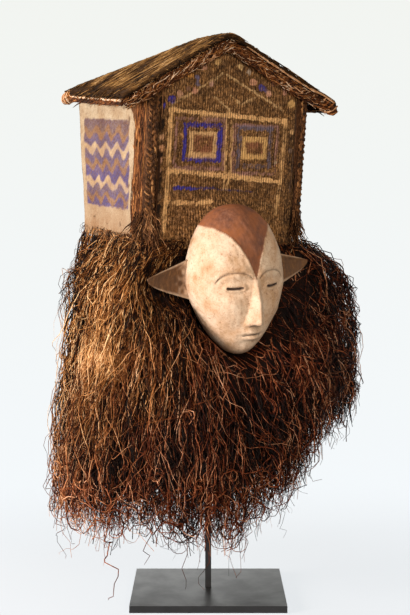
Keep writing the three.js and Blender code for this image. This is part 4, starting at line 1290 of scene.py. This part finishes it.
def skirt_point(angle, at, scale, level=None):
    """A place on the skirt in frame millimetres: angle round it, share of the way down, and scale.
    A level other than at gives the height apart from the spread, for roots that hang plumb."""
    angle, at, scale = np.broadcast_arrays(angle, at, scale)
    size = {key: np.interp(at, STATIONS["at"], STATIONS[key]) for key in STATIONS}
    c, s = np.cos(angle), np.sin(angle)
    half_x = np.where(c > 0, size["right"], size["left"])
    half_y = np.where(s < 0, size["front"], size["back"])
    power = size["square"]
    reach = scale * (np.abs(c / half_x) ** power + np.abs(s / half_y) ** power) ** (-1 / power)
    x, y = FRINGE["middle"][0] + reach * c, FRINGE["middle"][1] + reach * s
    to_short = np.cos(angle - FRINGE["short_side"])
    rise = np.where(to_short > 0, FRINGE["short_rise"], FRINGE["long_rise"])
    ragged = 5 * np.sin(7 * angle) + 4 * np.sin(12 * angle + 1)
    hem = FRINGE["hem"] + rise * np.abs(to_short) ** FRINGE["bend"] + ragged
    top = FRINGE["top"] + y * math.sin(LEAN)
    return np.stack([x, y, top + (hem - top) * (at if level is None else level)], -1)


def behind_face(points, recover=None):
    """Moves points in frame millimetres back, so that nothing hangs before the face or its ears.
    A root that has passed behind them comes forward again by recover for each millimetre down."""
    x, y, z = np.moveaxis(points, -1, 0)
    c, s = math.cos(LEAN), math.sin(LEAN)
    rise = z - PIVOT_HEIGHT
    in_house = (x - HOUSE_SHIFT, y * c + rise * s, -y * s + rise * c)
    fx, fy, fz = (value - middle for value, middle in zip(in_house, FACE_CENTRE))
    c2, s2 = math.cos(HEAD["roll"]), math.sin(HEAD["roll"])
    fx, fz = fx * c2 - fz * s2, fx * s2 + fz * c2
    narrow = 1 - HEAD["taper"] * np.clip(-fz / HEAD["tall"], 0, 1) ** 1.2
    from_head = (np.hypot(fx / (HEAD["half"] * narrow), fz / HEAD["tall"]) - 1) * 78
    from_ear = (np.hypot((np.abs(fx) - 80) / 44, (fz - EAR["z"] - 3) / 28) - 1) * 28
    under_chin = smooth(-fz / HEAD["tall"], 0.55, 0.95)
    limit = np.maximum(24 - (2.2 + 4 * under_chin) * from_head, 22 - 2.2 * from_ear)
    shift = np.maximum(0, np.minimum(limit, 27) - fy)
    if recover:
        for j in range(1, shift.shape[1]):
            kept = shift[:, j - 1] - recover * np.abs(points[:, j, 2] - points[:, j - 1, 2])
            shift[:, j] = np.maximum(shift[:, j], kept)
    return points + np.stack([0 * shift, shift * c, shift * s], -1)


def wander(draw, along, waves, jitter, easing=25):
    """Sideways wander of roots: sums of waves and small kinks, none where along is 0."""
    count = len(along)
    total = draw.normal(0, jitter, (*along.shape, 3))
    for wave, amount in waves:
        rate = 2 * np.pi / (wave * draw.uniform(0.7, 1.6, (count, 1, 3)))
        phase = draw.uniform(0, 2 * np.pi, (count, 1, 3))
        own = np.minimum(draw.lognormal(0, 0.5, (count, 1, 1)), 1.9)
        total += amount * own * np.sin(along[..., None] * rate + phase)
    return total * smooth(along, 0, easing)[..., None]


def run_along(points):
    """Distances along each line of points, in the points' own unit."""
    steps = np.linalg.norm(np.diff(points, axis=1), axis=2)
    return np.concatenate([np.zeros((len(points), 1)), np.cumsum(steps, axis=1)], axis=1)


def tone_with_painted_light(line):
    """The change of tone along a root: lighter on the left and darker on the right, partly the roots' own
    colour and partly painted light; a painted highlight on the left shoulder and painted light under the
    chin; painted shade on the far left, high up; a little darker at mid height and lighter low down."""
    across = line[:, 0] * math.cos(math.radians(30)) - line[:, 1] * math.sin(math.radians(30))
    # Painted light: a painted highlight on the left shoulder and light under the chin
    painted_light_pools = 0.42 * np.exp(-np.sum(((line - SUNLIT) / (34, 40, 20)) ** 2, axis=1))
    painted_light_pools += 0.26 * np.exp(-np.sum(((line - UNDER_CHIN) / (70, 60, 40)) ** 2, axis=1))
    # Painted shade on the far left, high up
    behind = 0.3 * smooth(-across, 140, 180) * smooth(line[:, 2], 355, 385)
    low = 0.08 * smooth(line[:, 2], 320, 260) * smooth(line[:, 2], 170, 230)
    low -= 0.07 * smooth(line[:, 2], 240, 150)
    # Lighter on the left and darker on the right: partly the roots' own colour, partly painted light
    gradient = 0.13 + 0.05 * smooth(line[:, 2], 335, 375)
    return -gradient * np.tanh((across + 112) / 38) - 0.04 + painted_light_pools - behind - low


def down(steps):
    """Shares of the way down a root, for a whole batch of roots at once."""
    return np.linspace(0, 1, steps)[None, :]


def anywhere(draw, size):
    """Angles all round the skirt."""
    return draw.uniform(-math.pi, math.pi, size)


def gathered(draw, count, share, middle, spread):
    """Angles round the skirt: a share of them about a middle, the rest anywhere."""
    near = draw.uniform(0, 1, count) < share
    return np.where(near, draw.normal(middle, spread, count), anywhere(draw, count))


def lock_roots(draw):
    """The roots that hang in locks, from the collar or from deeper down, and then plumb."""
    locks, count = LOCKS["count"], LOCKS["roots"]
    kind = draw.uniform(0, 1, locks)
    toward_camera = draw.normal(FRINGE["toward_camera"], 0.6, locks)
    middle = np.where(kind < 0.27, toward_camera, anywhere(draw, locks))
    middle = np.where(kind > 0.84, draw.normal(FRINGE["shoulder"], 0.32, locks), middle)
    short_side = draw.normal(FRINGE["short_side"] - 0.3, 0.4, locks)
    middle = np.where((kind > 0.27) & (kind < 0.39), short_side, middle)
    lock = np.sort(draw.integers(0, locks, count))
    deep = draw.uniform(0, 1, locks)
    proud, drift, shade = (draw.normal(0, spread, locks) for spread in (0.016, 0.09, 0.1))
    t = down(40)
    tied = draw.uniform(0, 1, count) < 0.5
    start = np.where(tied, draw.uniform(-0.02, 0.05, count), draw.uniform(0.05, 0.7, count))
    end = np.clip(0.96 + draw.normal(0, 0.03, locks)[lock] + draw.normal(0, 0.05, count), 0.6, 1.1)
    at = start[:, None] + (end - start)[:, None] * t
    plumb = draw.beta(1.6, 1.2, count)[:, None]
    over = np.minimum(at, start[:, None] + 0.1)
    spread_at = over + (at - over) * (1 - 0.8 * plumb * smooth(start[:, None], -0.02, 0.3))
    gather = 1 - 0.72 * smooth(t, 0.15, 0.7) + 0.4 * smooth(t, 0.85, 1)
    own = draw.normal(0, LOCKS["width"], count)[:, None] * gather
    sway = drift[lock][:, None] * smooth(t, 0.05, 1) + 0.045 * draw.normal(size=(count, 1)) * t
    turn = middle[lock][:, None] + own + sway
    layer = (0.7 * deep[lock] + 0.3 * draw.uniform(0, 1, count))[:, None]
    scale = 0.985 - (0.05 + 0.15 * smooth(at, 0, 0.3)) * layer + proud[lock][:, None] * smooth(t, 0.1, 0.5)
    inward = 0.05 * smooth(t, 0.12, 0.0) * (start[:, None] > 0.06)
    points = skirt_point(turn, spread_at, scale - inward, level=at)
    length = run_along(points)
    points = points + wander(draw, length, ((150, 4.0), (80, 2.6), (42, 2.0)), 1.05)
    curly = (draw.uniform(0, 1, count) < 0.35)[:, None]
    points = points + wander(draw, length, ((42, 6.0),), 0) * (smooth(t, 0.72, 1) * curly)[..., None]
    pale = draw.uniform(0, 1, count) < 0.27
    tone = np.where(pale, 0.92, 0.42) + draw.normal(0, 0.14, count) + shade[lock]
    # Roots deeper in the skirt are darker: painted shade
    return behind_face(points, 0.3), tone - np.where(pale, 0.5, 1.05) * layer[:, 0]


def stray_roots(draw, count=420):
    """Single thin roots that lie outside the locks, slanting across them, some bowed well clear."""
    t = down(30)
    angle = gathered(draw, count, 0.6, FRINGE["toward_camera"], 0.9)[:, None]
    start = draw.uniform(0.0, 0.7, (count, 1))
    at = start + draw.uniform(0.12, 0.5, (count, 1)) * t
    turn = angle + draw.normal(0, 0.36, (count, 1)) * t
    bow = draw.exponential(0.014, (count, 1)) * np.sin(np.pi * t)
    points = skirt_point(turn, at, 0.965 + draw.uniform(0, 0.03, (count, 1)) + bow)
    points = points + wander(draw, run_along(points), ((90, 3.5), (42, 1.8)), 0.3)
    return behind_face(points, 0.3), 0.6 + draw.normal(0, 0.18, count)


def fanned_roots(draw):
    """Sheaves that spread from one place on the collar, as combed by hand."""
    t = down(30)
    points, tones = [], []
    for angle, start, first, last, count in (
            (-2.52, 0.0, -0.65, 0.1, 190), (-2.9, 0.0, -0.35, 0.2, 120), (-2.3, 0.1, -0.3, 0.25, 80),
            (-1.1, 0.2, -0.1, 0.5, 80), (-1.55, 0.35, -0.55, 0.5, 150), (-2.7, 0.02, -0.5, 0.1, 80)):
        way = draw.uniform(first, last, (count, 1))
        at = start + draw.uniform(0, 0.05, (count, 1)) + draw.uniform(0.3, 0.75, (count, 1)) * t
        turn = angle + draw.normal(0, 0.05, (count, 1)) + way * t ** 0.8
        sheaf = skirt_point(turn, at, 0.945 + draw.uniform(0, 0.04, (count, 1)))
        sheaf = sheaf + wander(draw, run_along(sheaf), ((110, 3.2), (45, 1.8)), 0.7)
        points.append(sheaf)
        tones.append((0.56 if start < 0.3 else 0.62) + draw.normal(0, 0.2, count))
    return behind_face(np.concatenate(points), 0.3), np.concatenate(tones)


def collar_fuzz(draw, count=1750):
    """Fine curled rootlets matted over the collar and the skirt's shoulder."""
    t = down(9)
    angle = gathered(draw, count, 0.62, FRINGE["toward_camera"] - 0.45, 0.7)
    start = np.abs(draw.normal(0.0, 0.12, (count, 1))) - 0.03
    heading = draw.normal(0.1, 0.5 + 0.8 * smooth(start, 0.12, 0.02))
    reach = draw.uniform(14, 52, (count, 1)) * t
    at = start + reach * np.cos(heading) / 370
    turn = angle[:, None] + reach * np.sin(heading) / 170
    points = skirt_point(turn, np.maximum(at, -0.01), 0.945 + draw.uniform(0, 0.055, (count, 1)))
    points = points + wander(draw, reach + 15, ((44, 4.0), (24, 1.8)), 0.4, easing=40)
    return behind_face(points), 0.47 + draw.normal(0, 0.18, count)


def hem_tangle(draw, count=1200):
    """Curled and looped ends that mat together along the hem and stand out of the skirt's edge."""
    t = down(20)
    low = draw.uniform(0, 1, count) < 0.7
    angle = gathered(draw, count, 0.45, FRINGE["toward_camera"], 1.0)[:, None]
    start = np.where(low, draw.uniform(0.84, 1.0, count), draw.uniform(0.06, 0.85, count))[:, None]
    fall = draw.uniform(0.01, 0.11, (count, 1))
    turn = angle + draw.normal(0, 0.16, (count, 1)) * t
    scale = 0.97 * draw.uniform(0.84, 1.0, (count, 1)) + 0.02 * np.sin(np.pi * t)
    points = skirt_point(turn, start + fall * t, scale)
    curl = draw.uniform(4, 13, (count, 1)) * smooth(t, 0.0, 0.5)
    first = draw.uniform(0, 2 * np.pi, (count, 1))
    spin = first + draw.choice([-1, 1], (count, 1)) * draw.uniform(4, 13, (count, 1)) * t
    flat = angle + draw.normal(0, 0.5, (count, 1))
    aside = curl * np.cos(spin)
    loops = np.stack([-np.sin(flat) * aside, np.cos(flat) * aside, curl * np.sin(spin)], -1)
    points = points + loops + wander(draw, run_along(points) + 5, ((60, 4.0),), 0.3)
    points[..., 2] = np.maximum(points[..., 2], FRINGE["lowest"])
    return behind_face(points), 0.56 + draw.normal(0, 0.17, count)


def edge_tufts(draw, count=140, each=6):
    """Short clumps whose curled ends stand out of the skirt and roughen its outline."""
    t = down(9)
    angle = np.repeat(gathered(draw, count, 0.55, -0.45, 0.55), each)[:, None]
    at = np.repeat(draw.uniform(0.04, 0.85, count), each)[:, None]
    angle = angle + draw.normal(0, 0.035, angle.shape)
    at = at + draw.normal(0, 0.012, at.shape)
    reach = draw.uniform(0.04, 0.13, at.shape)
    out = draw.uniform(0.03, 0.085, at.shape) * np.sin(np.pi * 0.62 * t)
    points = skirt_point(angle + draw.normal(0, 0.09, at.shape) * t, at + reach * t ** 1.6, 0.94 + out)
    points = points + wander(draw, run_along(points) + 5, ((30, 3.4), (18, 1.6)), 0.4)
    return behind_face(points), 0.5 + draw.normal(0, 0.16, len(at))


def hem_wisps(draw, count=300):
    """Thin ends that hang and curl below the hem, and rootlets that stand out of the skirt."""
    t = down(22)
    low = draw.uniform(0, 1, count) < 0.55
    angle = anywhere(draw, (count, 1))
    start = np.where(low, draw.uniform(0.86, 1.0, count), draw.uniform(0.06, 0.9, count))[:, None]
    fall = np.where(low, draw.uniform(0.05, 0.2, count), draw.uniform(-0.03, 0.1, count))[:, None]
    fall += 0.1 * (draw.uniform(0, 1, (count, 1)) < 0.12) * low[:, None]
    out = np.where(low, 0.015, draw.uniform(0.02, 0.075, count))[:, None] * np.sin(np.pi * t * 0.8)
    turn = angle + draw.normal(0, 0.11, (count, 1)) * t
    points = skirt_point(turn, start + fall * t, 0.95 * draw.uniform(0.86, 1.04, (count, 1)) + out)
    points = points + wander(draw, run_along(points) + 5, ((48, 4.6), (22, 2.2)), 0.3)
    points[..., 2] = np.maximum(points[..., 2], FRINGE["lowest"])
    return behind_face(points), 0.4 + draw.normal(0, 0.12, count)


def as_strands(draw, points, tone, thick, step):
    """Thins each root to one point in about every step millimetres, with its radii and tones."""
    lines, radii, tones = [], [], []
    length = run_along(points)[:, -1]
    for k, line in enumerate(points):
        count = int(np.clip(round(length[k] / step), 4, len(line) - 1)) + 1
        pick = np.linspace(0, len(line) - 1, count).round().astype(int)
        t = np.linspace(0, 1, count)
        lines.append(line[pick] / 1000)
        fine = 0.78 if tone[k] > 0.66 else 1.0      # pale roots are thinner
        tapered = np.interp(t, [0, 0.1, 0.6, 1], [0.75, 1, 0.85, 0.5])
        radii.append(fine * thick * draw.lognormal(0, 0.33) * tapered)
        streaks = 0.1 * np.sin(2 * np.pi * (t * draw.uniform(1, 4) + draw.uniform()))
        change = tone_with_painted_light(line[pick]) * (0.5 if tone[k] > 0.6 else 1)
        tones.append(np.clip(0.5 + 1.2 * (tone[k] + streaks + change - 0.5), 0, 1))
    return lines, radii, tones


def make_root_mat():
    """The crushed roots under the skirt: a closed rough sleeve from the collar nearly to the hem,
    where its edge is torn."""
    cols, rows = 120, 30
    turns = np.linspace(-math.pi, math.pi, cols, endpoint=False)
    angle, v = np.meshgrid(turns, np.linspace(0, 1, rows + 1))
    torn = 0.02 * np.sin(9 * angle) + 0.02 * np.sin(23 * angle + 1) + 0.02 * np.sin(41 * angle + 2)
    at = 0.01 + v * (0.9 + torn)
    wide = 0.11 * smooth(np.cos(angle - 0.2), -0.5, 0.5) * smooth(v, 0.1, 0.3)
    wave = ripple(np.stack([np.cos(angle) * 60, np.sin(angle) * 60, v * 140], -1), 14, 161)
    outer = skirt_point(angle, at, 0.76 + wide + 0.14 * smooth(v, 0.3, 0) + 0.02 * wave)
    inner = skirt_point(angle, at, 0.7 + wide + 0.15 * smooth(v, 0.3, 0))
    points = np.concatenate([behind_face(side).reshape(-1, 3) / 1000 for side in (outer, inner)])
    grid = np.arange((rows + 1) * cols).reshape(rows + 1, cols)
    other = grid + grid.size

    def loop(a, b):
        return np.stack([a, np.roll(a, -1), np.roll(b, -1), b], -1).tolist()

    faces = []
    for j in range(rows):
        faces += loop(grid[j + 1], grid[j]) + loop(other[j], other[j + 1])
    faces += loop(grid[0], other[0]) + loop(other[rows], grid[rows])
    return new_piece("root_fringe_mat", points, faces)


def dried_roots():
    """Thin dried roots: wiry and faintly shiny, golden towards the upper left and maroon towards the hem and
    on the right."""
    material, tree, place = new_material("thin dried roots")
    tone = add(tree, "ShaderNodeAttribute", attribute_name="tone").outputs["Fac"]
    blotches, clouds, fuzz = (add(tree, "ShaderNodeTexNoise", {
        "Vector": place, "Scale": 1000 / size_mm, "Detail": detail, "Roughness": 0.6})
        for size_mm, detail in ((6, 5), (60, 3), (0.9, 3)))
    mottle = add(tree, "ShaderNodeMapRange", {
        "Value": blotches, "From Min": 0.3, "From Max": 0.7, "To Min": -0.24, "To Max": 0.2})
    value = add(tree, "ShaderNodeMath", {0: tone, 1: mottle}, operation="ADD")
    golden = add(tree, "ShaderNodeValToRGB", {"Fac": value}, stops=[
        (0.0, "#0e0401"), (0.2, "#2c1406"), (0.42, "#653918"), (0.62, "#a06a3a"), (0.82, "#d4a06a"),
        (1.0, "#f8d0a0")])
    maroon = add(tree, "ShaderNodeValToRGB", {"Fac": value}, stops=[
        (0.0, "#070100"), (0.2, "#1c0704"), (0.42, "#50200e"), (0.62, "#84462a"), (0.82, "#b87b58"),
        (1.0, "#dca98a")])
    toward = add(tree, "ShaderNodeVectorMath", {
        0: place, 1: (3.4, -1.1, -3.4)}, operation="DOT_PRODUCT").outputs["Value"]
    toward_maroon = add(tree, "ShaderNodeMath", {0: toward, 1: clouds}, operation="ADD")
    maroon_share = add(tree, "ShaderNodeMapRange", {"Value": toward_maroon, "From Min": -1.2, "From Max": -0.6})
    colour = add(tree, "ShaderNodeMix", {FACTOR: maroon_share, FIRST: golden, SECOND: maroon}, **MIX)
    surface(tree, colour, 0.55, fuzz, 0.15, 0.1)
    return material


def crushed_roots():
    """The same roots pressed flat, in near-black streaks between the hanging ones: a painted shade for the
    depth of the skirt.
    """
    material, tree, place = new_material("crushed dried roots")
    lengthways = add(tree, "ShaderNodeMapping", {"Vector": place, "Scale": (1, 1, 0.12)})
    streak = add(tree, "ShaderNodeTexNoise", {
        "Vector": lengthways, "Scale": 1000 / 2.6, "Detail": 4, "Roughness": 0.7})
    colour = add(tree, "ShaderNodeValToRGB", {"Fac": streak}, stops=[
        (0.42, "#070201"), (0.58, "#1c0b05"), (0.72, "#4a2612")])
    surface(tree, colour, 0.7, streak, 0.8, 0.1)
    return material


root, crushed = dried_roots(), crushed_roots()
draw = np.random.default_rng(171)
# Each batch has a name, its roots, their tones, a thickness and a step in millimetres
batches = [("locks", *lock_roots(draw), 0.66, LOCKS["step"]), ("strays", *stray_roots(draw), 0.42, 12),
           ("fans", *fanned_roots(draw), 0.54, 15), ("fuzz", *collar_fuzz(draw), 0.38, 7),
           ("tangle", *hem_tangle(draw), 0.62, 7), ("tufts", *edge_tufts(draw), 0.6, 7),
           ("wisps", *hem_wisps(draw), 0.44, 9)]
for batch, points, tone, thick, step in batches:
    lines, radii, tones = as_strands(draw, points, tone, thick, step)
    first, load = 0, 0
    for k, line in enumerate(lines):
        load += (len(line) - 1) * 6 + 2     # a three-sided tube's triangles
        if load > PIECE_TRIANGLES or k == len(lines) - 1:
            piece = strands(f"root_fringe_{batch}_{first}", lines[first:k + 1], radii[first:k + 1],
                            tones[first:k + 1], root)
            carries(piece, root, "root_fibre", "root_fringe")
            first, load = k + 1, 0
carries(make_root_mat(), crushed, "root_fibre", "root_fringe")
